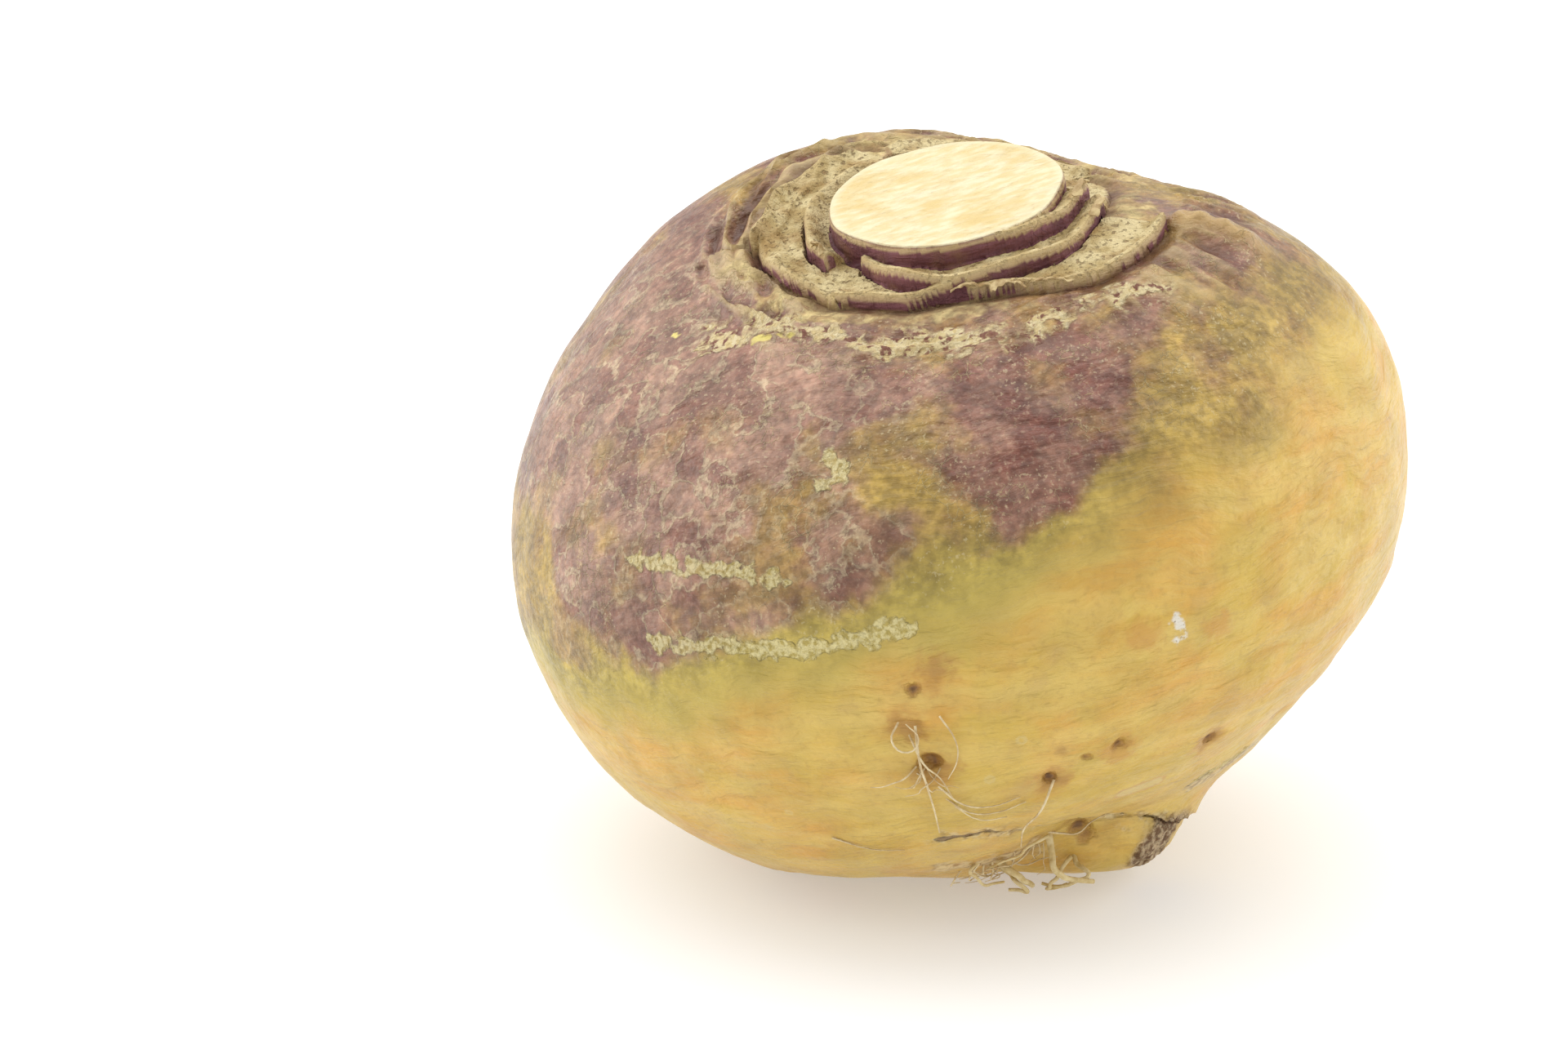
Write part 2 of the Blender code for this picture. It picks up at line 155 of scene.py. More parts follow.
crownUp = unit(crownForm["normal"])
crownRight = unit(np.array([1.0, 0, 0]) - crownUp * crownUp[0])
crownBack = np.cross(crownUp, crownRight)
crownCentre = np.array(crownForm["centre"])


def spline(values, place):
    values = np.asarray(values, float)
    first = np.clip(np.floor(place).astype(int), 0, len(values) - 2)
    u = place - first
    ends = np.concatenate([[2 * values[0] - values[1]], values, [2 * values[-1] - values[-2]]])
    near = ends[first] * (1 - u) ** 3 + ends[first + 1] * (3 * u**3 - 6 * u**2 + 4)
    far = ends[first + 2] * (-3 * u**3 + 3 * u**2 + 3 * u + 1) + ends[first + 3] * u**3
    return (near + far) / 6


def leans(polar):
    along = ease(polar / math.pi)
    pairs = zip(rootForm["crownLean"], rootForm["rootLean"])
    return [math.radians(crown) + math.radians(root - crown) * along for crown, root in pairs]


def turned(a, b, angle):
    return a * np.cos(angle) + b * np.sin(angle), b * np.cos(angle) - a * np.sin(angle)


def direction(polar, azimuth):
    leanRight, leanForward = leans(polar)
    x, y, z = np.sin(polar) * np.cos(azimuth), np.sin(polar) * np.sin(azimuth), np.cos(polar)
    x, z = turned(x, z, leanRight)
    y, z = turned(y, z, -leanForward)
    return np.stack([x, y, z], -1)


def anglesOf(way):
    polar = np.arccos(np.clip(way[..., 2], -1, 1))
    for _ in range(6):
        leanRight, leanForward = leans(polar)
        y, z = turned(way[..., 1], way[..., 2], leanForward)
        x, z = turned(way[..., 0], z, -leanRight)
        polar = np.arccos(np.clip(z, -1, 1))
    return polar, np.arctan2(y, x)


def angleBetween(way, axis):
    return np.degrees(np.arccos(np.clip(way @ unit(axis), -1, 1)))


def bodyRadius(polar, azimuth):
    place = np.degrees(polar) / rootForm["profileStep"]
    right, back = np.cos(azimuth), np.sin(azimuth)
    radius = 0
    for side, share in {"right": right, "back": back, "left": -right, "front": -back}.items():
        radius = radius + np.maximum(share, 0) ** 2 * spline(rootForm[side], place)
    way = np.stack([np.sin(polar) * right, np.sin(polar) * back, np.cos(polar)], -1)
    for turn, tip, spread, rise in rootForm["swells"]:
        turn, tip = math.radians(turn), math.radians(tip)
        axis = (math.sin(tip) * math.cos(turn), math.sin(tip) * math.sin(turn), math.cos(tip))
        radius = radius + rise * np.exp(-0.5 * (angleBetween(way, axis) / spread) ** 2)
    return radius


def lineGap(points, start, end):
    # distance to a straight stretch, and how far along it the nearest point lies
    start, end = np.array(start, float), np.array(end, float)
    run = end - start
    along = np.clip((points - start) @ run / (run @ run), 0, 1)
    return np.linalg.norm(points - start - along[..., None] * run, axis=-1), along


def foldStretches():
    # short stretches of the fold, all at one distance from the centre
    knots = []
    for start, end in zip(stubForm["fold"], stubForm["fold"][1:]):
        knots += [np.array(start) + (np.array(end) - start) * share for share in (0, 0.25, 0.5, 0.75)]
    knots.append(np.array(stubForm["fold"][-1], float))
    knots = [np.append(unit(knot[:3]) * stubForm["foldReach"], knot[3]) for knot in knots]
    return list(zip(knots, knots[1:]))


def foldDepth(points):
    points = unit(points) * stubForm["foldReach"]
    depth = np.zeros(points.shape[:-1])
    towards = unit(stubForm["axis"]) * stubForm["foldReach"]
    for start, end in foldStretches():
        gap, along = lineGap(points, start[:3], end[:3])
        nearest = start[:3] + along[..., None] * (end[:3] - start[:3])
        below = np.sum((points - nearest) * (towards - nearest), axis=-1) > 0
        width = np.where(below, stubForm["foldSlope"], stubForm["foldEdge"])
        groove = (start[3] + (end[3] - start[3]) * along) * np.exp(-gap / width)
        depth = np.maximum(depth, groove)
    return depth


def foldGap(points):
    points = unit(points) * stubForm["foldReach"]
    return np.min([lineGap(points, start[:3], end[:3])[0] for start, end in foldStretches()], axis=0)


def withStub(radius, way):
    *spot, depth, spread = stubForm["hollow"]
    radius = radius - depth * np.exp(-0.5 * (angleBetween(way, spot) / spread) ** 2)
    radius = radius - foldDepth(radius[..., None] * way)
    offAxis = angleBetween(way, stubForm["axis"])
    reach = stubForm["outer"] - stubForm["inner"]
    radius = radius + stubForm["rise"] * ease((stubForm["outer"] - offAxis) / reach)
    normal = unit(stubForm["endNormal"])
    cut = (np.array(stubForm["endPoint"]) @ normal) / np.maximum(way @ normal, 0.2)
    fade = stubForm["endFade"] * ease((offAxis - stubForm["endSpread"]) / stubForm["endSpread"])
    radius = np.minimum(radius, cut + fade)
    *normal, level = stubForm["underside"]
    normal = np.array(normal)
    under = level / np.maximum(way @ normal, 0.2)
    over = np.maximum(radius - under, 0)
    return radius - over * over / (over + 0.6)


def backScarLips():
    draw = random.Random(crownForm["seed"])
    lips = []
    low, high = crownForm["backSector"]
    for leaf in range(crownForm["backScars"]):
        azimuth = (crownForm["backFirst"][0] + crownForm["leafTurn"] * leaf) % 360
        if not low < azimuth < high:
            continue
        radius = crownForm["backFirst"][1] + crownForm["backGrowth"][0] * leaf
        depth = crownForm["backFirst"][2] + crownForm["backGrowth"][1] * leaf
        depth += crownForm["backTilt"] * max(math.cos(math.radians(azimuth)), 0)
        half = crownForm["backHalfSpan"] * draw.uniform(0.85, 1.15)
        tipRadius = radius - draw.uniform(1.0, 2.2)
        rightTip, leftTip = (azimuth - half, tipRadius, depth + 0.5), (azimuth + half, tipRadius, depth + 0.4)
        lips.append([rightTip, (azimuth, radius, depth), leftTip])
    return lips


allLips = crownForm["lips"] + backScarLips()


def waver(azimuth, seed, coarse=9, fine=41):
    # an uneven line round the crown, between about -1 and 1
    draw = random.Random(seed)
    turn = np.radians(azimuth)
    total = 0
    for _ in range(6):
        wave = np.sin(draw.randint(coarse, fine) * turn + draw.uniform(0, 6.28))
        total = total + wave * draw.uniform(0.2, 0.5)
    return total


def lipAt(index, azimuth):
    azimuths, radii, depths = (np.array(column, float) for column in zip(*allLips[index]))
    middle = (azimuths[0] + azimuths[-1]) / 2
    azimuth = (azimuth - middle + 180) % 360 - 180 + middle
    taps = [azimuth + crownForm["rounding"] * k for k in (-1, -0.5, 0, 0.5, 1)]
    radius = sum(np.interp(tap, azimuths, radii) for tap in taps) / len(taps)
    depth = sum(np.interp(tap, azimuths, depths) for tap in taps) / len(taps)
    radius = radius + crownForm["wobble"] * waver(azimuth, index, 4, 15)
    depth = depth + crownForm["depthWobble"] * waver(azimuth, index + 50, 4, 13)
    pastEnd = np.maximum(azimuths[0] - azimuth, azimuth - azimuths[-1])
    return radius, depth, np.maximum(pastEnd, 0)


def cutEdge(azimuth):
    side, further = crownForm["skew"]
    offCentre = further * np.cos(np.radians(azimuth - side))
    return crownForm["cutRadius"] + offCentre + 0.22 * waver(azimuth, 77, 3, 9)


def crownRelief(radius, azimuth):
    # height over the cut's plane, drop below the lip that rules there, distance inside it, and 1 for the cut
    cut = cutEdge(azimuth)
    drop = crownForm["wallSlope"] * np.maximum(radius - cut, 0)
    height, inside, isTop = -drop, cut - radius, np.ones(drop.shape)
    for index in range(len(allLips)):
        lipRadius, depth, pastEnd = lipAt(index, azimuth)
        behind = lipRadius - radius
        groove = crownForm["cupDepth"] * crownForm["deepGrooves"].get(index, 1.0)
        flatTop, cupWidth = crownForm["terraces"].get(index, (0.5, crownForm["cupWidth"]))
        cup = groove * ease((behind - flatTop) / cupWidth)
        bead = crownForm["beadHeight"] * np.exp(-((behind / crownForm["beadWidth"] - 0.8) ** 2))
        fall = crownForm["wallSlope"] * (np.maximum(-behind, 0) + np.radians(pastEnd) * radius)
        here = -depth - cup + bead - fall
        rules = here > height
        height = np.where(rules, here, height)
        drop = np.where(rules, fall, drop)
        inside = np.where(rules, behind, inside)
        isTop = np.where(rules, 0, isTop)
    return height, drop, inside, isTop


def onCircle(radius, azimuth):
    # the plain body's points under a circle round the crown's centre
    flat = np.cos(azimuth)[..., None] * crownRight + np.sin(azimuth)[..., None] * crownBack
    point = crownCentre + radius[..., None] * flat - 7 * crownUp
    for _ in range(9):
        distance = np.linalg.norm(point, axis=-1)
        way = point / distance[..., None]
        miss = bodyRadius(*anglesOf(way)) - distance
        step = np.clip(miss / np.maximum(way @ crownUp, 0.25), -5, 5)
        point = point + step[..., None] * crownUp
    return point


def crownSpacing(counts=(512, 761, 105)):
    # radii that share each sector's rise and run evenly, so that walls get their rings too
    sectors, steps, rings = counts
    azimuth = np.linspace(0, 360, sectors, endpoint=False)
    radius = np.linspace(0, crownForm["edge"], steps)
    coarseAzimuth, coarseRadius = azimuth[::16], radius[::20]
    grid = onCircle(*np.broadcast_arrays(coarseRadius[None, :], np.radians(coarseAzimuth)[:, None]))
    plain = (grid - crownCentre) @ crownUp
    plain = np.stack([np.interp(radius, coarseRadius, row) for row in plain])
    wrapped = np.concatenate([plain, plain[:1]])
    plain = np.stack([np.interp(azimuth, np.append(coarseAzimuth, 360), column) for column in wrapped.T], 1)
    relief = crownRelief(radius[None, :], azimuth[:, None])[0]
    height = np.maximum(relief, plain)
    run = radius[1] - radius[0]
    length = np.hypot(np.diff(height, axis=1) * 0.8, run)
    inner = 0.55 + 0.45 * ease((radius[1:] - 12) / 5)  # the flat cut needs fewer rings
    travel = np.concatenate([np.zeros((sectors, 1)), np.cumsum(length * inner, axis=1)], 1)
    travel /= travel[:, -1:]
    window = np.hanning(13)
    window /= window.sum()
    spectrum = np.fft.rfft(np.roll(np.pad(window, (0, sectors - 13)), -6))
    travel = np.fft.irfft(np.fft.rfft(travel, axis=0) * spectrum[:, None], sectors, axis=0)
    share = np.linspace(0, 1, rings)
    return azimuth, share, np.stack([np.interp(share, row, radius) for row in travel])


def crownRadiusAt(share, azimuthDegrees, spacing):
    azimuths, shares, table = spacing
    column = (azimuthDegrees % 360) / (azimuths[1] - azimuths[0])
    row = share * (len(shares) - 1)
    a, b = np.floor(column).astype(int) % len(azimuths), np.floor(row).astype(int)
    b = np.minimum(b, len(shares) - 2)
    u, v = column - np.floor(column), row - b
    following = (a + 1) % len(azimuths)
    low = table[a, b] * (1 - v) + table[a, b + 1] * v
    high = table[following, b] * (1 - v) + table[following, b + 1] * v
    return low * (1 - u) + high * u


def snapToLips(radius, azimuth, reach):
    cut = cutEdge(azimuth)
    nearest = np.minimum(np.abs(cut - radius), reach)
    nearest = np.where(radius - cut < reach / 4, nearest, reach)
    moved = np.where(nearest < reach, cut, radius)
    for index in range(len(allLips)):
        lipRadius, _, pastEnd = lipAt(index, azimuth)
        gap = np.abs(lipRadius - radius)
        near = (gap < nearest) & (pastEnd == 0) & (radius - lipRadius < reach / 4)
        moved, nearest = np.where(near, lipRadius, moved), np.where(near, gap, nearest)
    return moved


def roughness(points, size, seed=0.0):
    # smooth noise between about -1 and 1
    scaled = points / size + seed
    return np.array([noise.noise(Vector(row)) for row in scaled])


def selectFaces(mesh, chosen):
    mesh.polygons.foreach_set("select", chosen)
    edges = np.zeros(len(mesh.edges), bool)
    vertices = np.zeros(len(mesh.vertices), bool)
    lookup = {key: i for i, key in enumerate(mesh.edge_keys)}
    for face in mesh.polygons:
        if chosen[face.index]:
            vertices[list(face.vertices)] = True
            for key in face.edge_keys:
                edges[lookup[key]] = True
    mesh.edges.foreach_set("select", edges)
    mesh.vertices.foreach_set("select", vertices)


def startBall():
    # a ball whose crown and fine patches are split once more in edit mode
    bpy.ops.object.select_all(action="DESELECT")
    segments, rings = rootForm["segments"], rootForm["rings"]
    bpy.ops.mesh.primitive_uv_sphere_add(segments=segments, ring_count=rings, radius=1)
    ball = bpy.context.object
    ball.name = rootForm["name"]
    mesh = ball.data
    centres = np.empty(len(mesh.polygons) * 3)
    mesh.polygons.foreach_get("center", centres)
    centres = centres.reshape(-1, 3)
    ring = np.arctan2(np.hypot(centres[:, 0], centres[:, 1]), centres[:, 2]) / math.pi * rootForm["rings"]
    turn = np.degrees(np.arctan2(centres[:, 1], centres[:, 0]))
    fine = ring < rootForm["crownRings"]
    for firstTurn, lastTurn, firstRing, lastRing in rootForm["finePatches"]:
        fine |= (turn > firstTurn) & (turn < lastTurn) & (ring > firstRing) & (ring < lastRing)
    selectFaces(mesh, fine)
    bpy.context.tool_settings.mesh_select_mode = (False, False, True)
    bpy.ops.object.mode_set(mode="EDIT")
    bpy.ops.mesh.subdivide(number_cuts=1, smoothness=0)
    bpy.ops.mesh.select_all(action="DESELECT")
    bpy.ops.object.mode_set(mode="OBJECT")
    return ball


def shapeRoot(ball):
    mesh = ball.data
    points = np.empty(len(mesh.vertices) * 3)
    mesh.vertices.foreach_get("co", points)
    points = points.reshape(-1, 3)
    azimuth = np.arctan2(points[:, 1], points[:, 0])
    ring = np.arctan2(np.hypot(points[:, 0], points[:, 1]), points[:, 2]) / math.pi * rootForm["rings"]
    degrees = np.degrees(azimuth)
    crownRings, edge = rootForm["crownRings"], crownForm["edge"]

    # crown rings are circles round the cut, and they turn into rings of the body lower down
    radius = crownRadiusAt(np.clip(ring / crownRings, 0, 1), degrees, crownSpacing())
    radius = snapToLips(radius, degrees, 0.24)
    around = np.linspace(0, 2 * math.pi, 16, endpoint=False)
    tips = np.radians(np.arange(20, 75, 0.25))
    circles = np.array([math.sin(tip) * np.mean(bodyRadius(np.full(16, tip), around)) for tip in tips])
    start = math.degrees(float(np.interp(edge, circles, tips)))
    knots = [crownRings, 0.79 * rootForm["rings"], rootForm["rings"]]
    polar = np.radians(np.interp(ring, knots, [start, 142, 180]))
    outer = np.interp(polar, tips, circles)
    radius = np.where(ring <= crownRings, radius, outer)
    share = ease((np.degrees(polar) - 40) / 30) * (ring > crownRings)
    way = direction(polar, azimuth)
    body = withStub(bodyRadius(polar, azimuth), way)
    placed = share[:, None] * (body[:, None] * way)
    blended = share < 1
    placed[blended] += (1 - share[blended, None]) * onCircle(radius[blended], azimuth[blended])
    print("root: plain body placed")

    # crown
    offset = placed - crownCentre
    x, y, level = offset @ crownRight, offset @ crownBack, offset @ crownUp
    flat, turn = np.hypot(x, y), np.degrees(np.arctan2(y, x))
    height, drop, inside, isTop = crownRelief(flat, turn)
    over = (placed[:, 2] > 0) & (flat < edge + 4)
    lift = np.maximum(height - level, 0) * over
    ridge = crownForm["ridge"]
    across = np.radians(turn - ridge["azimuth"]) * flat / ridge["halfWidth"]
    along = ease((flat - ridge["start"] + 2) / 4) * ease((ridge["end"] - flat) / 8)
    lumps = 1 + 0.25 * np.sin(flat * 1.9)
    ridgeMask = along * np.exp(-across * across) * (placed[:, 2] > 0)
    foot = np.maximum(level - height, 0) / crownForm["wallSlope"]
    trench = over * (lift == 0) * (inside < 0) * np.exp(-((foot / crownForm["trenchWidth"]) ** 2))
    placed += (lift - crownForm["trench"] * trench + ridge["rise"] * lumps * ridgeMask)[:, None] * crownUp
    raised = lift > 0.02
    isTop = isTop * (lift > 0.2)
    isCut = isTop * (drop < 0.4)
    swell = crownForm["bulge"] * (1 - np.exp(-drop / 0.6)) * (drop < 9)
    lean = (crownForm["undercut"] * np.minimum(drop, 4.5) - swell) * raised
    outward = unit(x[:, None] * crownRight + y[:, None] * crownBack + 1e-9)
    placed -= outward * lean[:, None]
    wall = ease(drop / 0.5) * raised
    isFloor = over & (inside > 0.3) & (drop < 4) & (flat < 33)
    shelf = np.maximum(raised * (1 - wall), isFloor) * (1 - isCut)
    lip = np.exp(-((inside / 0.35) ** 2)) * raised * (inside > -0.15) * (1 - isCut)

    crease = np.zeros(len(placed))
    for sector, halfWidth, inner, outer, rise, radialSize, sideSize in crownForm["wrinkles"]:
        gap = np.abs((turn - sector + 180) % 360 - 180)
        zone = ease((halfWidth - gap) / 18) * ease((flat - inner) / 3) * ease((outer - flat) / 5)
        zone = zone * (placed[:, 2] > 0)
        here = zone > 0
        around = np.radians(turn[here] - sector) * 30
        grid = np.stack([flat[here] / radialSize, around / sideSize, np.full(here.sum(), sector * 0.1)], 1)
        folds = 1 - 2.2 * np.abs(roughness(grid, 1.0, 4.2)) - 0.5 * np.abs(roughness(grid * 2.3, 1.0, 8.1))
        placed[here] += (zone[here] * rise * folds)[:, None] * crownUp
        crease[here] += zone[here] * folds * min(rise, 1.2)

    # uneven skin
    away = unit(placed)
    dullness = 1 - 0.75 * isCut
    for number, (size, rise) in enumerate(rootForm["lumps"]):
        placed += away * (roughness(placed, size, 7.3 * number) * rise * dullness)[:, None]
    lower = ease((np.degrees(polar) - 95) / 25) * (ring > crownRings)
    sag = 6 * np.cos(azimuth + math.radians(50))  # rings dip towards the stub
    for depth, spacing, turning in rootForm["ringCreases"]:
        strip = np.stack([degrees * turning, degrees * 0, (placed[:, 2] + sag) / spacing], 1)
        placed -= away * (depth * np.abs(roughness(strip, 1.0, 3.1)) * lower)[:, None]
    endPoint, endNormal = np.array(stubForm["endPoint"]), unit(stubForm["endNormal"])
    beyond = (placed - endPoint) @ endNormal
    spread = np.linalg.norm(placed - stubForm["endCentre"], axis=1)
    endFace = ease((beyond + 1.9) / 0.8) * ease((stubForm["endReach"] - spread) / 3)
    torn = roughness(placed, 1.7, 5.0) + 0.5 * roughness(placed, 0.8, 6.0)
    placed += away * (endFace * stubForm["endRoughness"] * torn)[:, None]
    crinkle = roughness(placed, 1.3, 11.0) * 0.12 + roughness(placed, 0.6, 2.0) * 0.05
    placed += crownUp * (crinkle * np.maximum(shelf * (1 - lip), 0.2 * wall))[:, None]
    placed -= away * pitDepth(placed)[:, None]

    # the flat spot, then everything to its place in the frame
    low = np.minimum(placed[:, 2], -20)
    placed *= np.where(low < -rootForm["centreHeight"], -rootForm["centreHeight"] / low, 1)[:, None]
    least, most = placed.min(axis=0), placed.max(axis=0)
    centre = np.array((cadLow + cadHigh) / 2) / mm
    shift = np.array([centre[0] - (least[0] + most[0]) / 2, centre[1] - (least[1] + most[1]) / 2, 0])
    shift[2] = cadLow.z / mm + rootForm["centreHeight"]
    mesh.vertices.foreach_set("co", ((placed + shift) * mm).ravel())
    masks = {"cutTop": isTop, "shelf": shelf, "lip": lip, "endFace": endFace, "ridge": ridgeMask}
    masks["rim"] = np.clip(inside, -1, 5)
    masks["drop"] = np.clip(drop, 0, 8) * raised
    masks["trench"] = trench
    masks["crease"] = crease
    masks["pit"] = pitGap(placed, holes)
    masks["dimple"] = pitGap(placed, dimples)
    masks["fold"] = np.minimum(foldGap(placed), farOff)
    for name, lines in marks.items():
        masks[name] = markGap(placed, lines)
    for name, values in masks.items():
        layer = mesh.attributes.new(name, "FLOAT", "POINT")
        layer.data.foreach_set("value", np.asarray(values, float))
    mesh.update()
    return shift


# holes and shallow dimples: (azimuth, polar, radius, depth)
holes = {
    "first": (-96.0, 93.8, 1.2, 0.9),
    "deep": (-94.0, 105.4, 1.8, 1.8),
    "second": (-72.6, 106.0, 0.9, 0.8),
    "third": (-67.8, 104.7, 1.4, 1.2),
    "fourth": (-51.4, 108.6, 1.1, 0.8),
    "long": (-77.4, 109.6, 1.2, 0.9),
    "stub": (-61.5, 136.0, 1.8, 1.2),
}
dimples = {
    "upper": (-93.0, 90.7, 3.2, 0.8),
    "swirl": (-96.9, 100.1, 3.4, 1.0),
    "deepRim": (-93.5, 105.8, 3.6, 0.5),
    "spot": (-76.5, 103.9, 1.4, 0.25),
    "longRim": (-76.8, 110.0, 3.0, 0.5),
    "right": (-51.4, 108.6, 3.0, 0.5),
    "scar": (-64.0, 133.0, 3.4, 0.8),
    "scarLeft": (-73.0, 135.0, 2.6, 0.6),
    "farRight": (-30.0, 112.0, 3.0, 0.6),
}


def surfaceWay(azimuth, polar):
    azimuth, polar = math.radians(azimuth), math.radians(polar)
    flat = math.sin(polar)
    return np.array([flat * math.cos(azimuth), flat * math.sin(azimuth), math.cos(polar)])


def pitDepth(points):
    away = unit(points)
    distance = np.linalg.norm(points, axis=-1)
    depth = np.zeros(len(points))
    for azimuth, polar, radius, deep in [*holes.values(), *dimples.values()]:
        gap = np.radians(angleBetween(away, surfaceWay(azimuth, polar))) * distance
        depth += deep * np.exp(-((gap / radius) ** 2) * 1.4)
    return depth


# marks on the skin: each is a list of lines through (azimuth, polar) points
marks = {
    "scab": [
        [(-137.1, 83.1), (-125.6, 81.2), (-113.7, 81.0)],
        [(-131.8, 92.3), (-119.3, 90.7), (-108.3, 89.0), (-96.7, 85.3)],
        [(-44.0, 122.5), (-33.0, 119.0)],
        [(-110.5, 64.0), (-108.0, 66.5), (-110.5, 68.5)],
    ],
    "oval": [[(-64.0, 116.8), (-57.5, 115.8)]],
    "whiteSkin": [[(-93.0, 134.0), (-84.0, 137.0), (-74.0, 139.0)], [(-42.0, 124.0), (-30.0, 121.0)]],
    "lenticel": [[(-128.0, 110.6)], [(-119.7, 119.5)], [(-115.5, 116.2)], [(-82.0, 101.5)], [(-86.0, 108.0)]],
    "crackBand": [
        [(-141.0, 45.0), (-112.0, 44.5), (-77.0, 43.5), (-46.0, 41.0)],
        [(-150.0, 52.0), (-141.0, 45.0)],
    ],
    "yellowMark": [[(-139.0, 48.5), (-137.2, 47.0)], [(-134.5, 45.8), (-132.6, 45.6)], [(-159.0, 54.0)]],
    "waxSpot": [[(-62.1, 86.2), (-61.7, 89.0)]],
    "stain": [[(-67.0, 87.5), (-66.0, 88.0)], [(-56.0, 88.5)]],
    "rustSpot": [
        [(-93.5, 92.0)],
        [(-96.9, 99.0)],
        [(-93.0, 106.5)],
        [(-77.0, 110.0)],
        [(-67.8, 105.5)],
        [(-52.0, 109.0)],
    ],
}
farOff = 12.0  # distances to marks are kept up to this


def surfacePoint(azimuth, polar, lift=0.0):
    way = surfaceWay(azimuth, polar)
    bodyPolar, bodyAzimuth = anglesOf(way[None, :])
    radius = withStub(bodyRadius(bodyPolar, bodyAzimuth), way[None, :])
    return (radius[0] + lift) * way


def markGap(points, lines):
    gap = np.full(len(points), farOff)
    for line in lines:
        spots = [surfacePoint(*spot) for spot in line]
        for start, end in zip(spots, spots[1:] or [spots[0] + 0.01]):
            gap = np.minimum(gap, lineGap(points, start, end)[0])
    return gap


def pitGap(points, pits):
    # how many radii away the nearest pit is
    away, distance = unit(points), np.linalg.norm(points, axis=-1)
    gap = np.full(len(points), 4.0)
    for azimuth, polar, radius, _ in pits.values():
        here = np.radians(angleBetween(away, surfaceWay(azimuth, polar))) * distance / radius
        gap = np.minimum(gap, here)
    return gap


root = startBall()
rootShift = shapeRoot(root)
bpy.ops.object.select_all(action="DESELECT")
root.select_set(True)
bpy.context.view_layer.objects.active = root
bpy.ops.object.shade_smooth_by_angle(angle=math.radians(50))
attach(root, "root")
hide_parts("rutabaga")
print("root: shaped,", sum(len(face.vertices) - 2 for face in root.data.polygons), "triangles")


def put(tree, kind, inputs=None, **settings):
    made = tree.nodes.new("ShaderNode" + kind)
    for name, value in settings.items():
        setattr(made, name, value)
    for name, value in (inputs or {}).items():
        socket = made.inputs[name]
        if isinstance(value, bpy.types.NodeSocket):
            tree.links.new(value, socket)
        else:
            socket.default_value = value
    return made


def maths(tree, operation, a, b=0.0):
    return put(tree, "Math", {0: a, 1: b}, operation=operation).outputs[0]


def times(tree, a, b):
    return maths(tree, "MULTIPLY", a, b)


def plus(tree, a, b):
    return maths(tree, "ADD", a, b)


def minus(tree, a, b):
    return maths(tree, "SUBTRACT", a, b)


def between(tree, share, a, b):
    # the value a where the share is 0 and b where it is 1
    return put(tree, "Mix", {0: share, 2: a, 3: b}).outputs[0]


def distanceTo(tree, place, point):
    spot = tuple(float(value) for value in point)
    return put(tree, "VectorMath", {0: place, 1: spot}, operation="DISTANCE").outputs["Value"]


def weave(tree, mask, a, b, mode="MIX"):
    # colour a where the mask is 0 and b where it is 1
    mixed = put(tree, "Mix", {0: mask}, data_type="RGBA", blend_type=mode)
    for index, colour in ((6, a), (7, b)):
        if isinstance(colour, bpy.types.NodeSocket):
            tree.links.new(colour, mixed.inputs[index])
        else:
            mixed.inputs[index].default_value = (*colour, 1)
    return mixed.outputs[2]


def tint(tree, mask, amount, base, over):
    # the base colour with a share of another over it where the mask is 1
    return weave(tree, times(tree, mask, amount), base, over)


def fade(tree, value, low, high):
    # 0 at low and 1 at high, with a soft start and end
    settings = {"Value": value, "From Min": low, "From Max": high}
    return put(tree, "MapRange", settings, interpolation_type="SMOOTHSTEP").outputs[0]


def spotMask(tree, gap, edge, unevenness, low, high):
    # a mark's mask from the distance to it, with an uneven edge
    return fade(tree, plus(tree, gap, times(tree, edge, unevenness)), low, high)


def newGroup(name, inputs, outputs):
    group = bpy.data.node_groups.new(name, "ShaderNodeTree")
    for socketName, kind, value in inputs:
        socket = group.interface.new_socket(socketName, in_out="INPUT", socket_type="NodeSocket" + kind)
        if value is not None:
            socket.default_value = value
    for socketName, kind in outputs:
        group.interface.new_socket(socketName, in_out="OUTPUT", socket_type="NodeSocket" + kind)
    return group, group.nodes.new("NodeGroupInput"), group.nodes.new("NodeGroupOutput")


def mottleGroup():
    # soft blotches: a mask from noise between two levels
    inputs = [("Place", "Vector", None), ("Size", "Float", 5.0), ("Detail", "Float", 3.0)]
    inputs += [("Low", "Float", 0.4), ("High", "Float", 0.6), ("Seed", "Float", 0.0)]
    group, given, out = newGroup("mottle", inputs, [("Mask", "Float")])
    scale = maths(group, "DIVIDE", 1.0, given.outputs["Size"])
    far = times(group, given.outputs["Seed"], 137.0)
    moved = put(group, "VectorMath", {0: given.outputs["Place"], 1: far}, operation="ADD")
    settings = {"Vector": moved.outputs[0], "Scale": scale, "Detail": given.outputs["Detail"]}
    texture = put(group, "TexNoise", settings)
    mask = fade(group, texture.outputs["Fac"], given.outputs["Low"], given.outputs["High"])
    group.links.new(mask, out.inputs["Mask"])
    return group


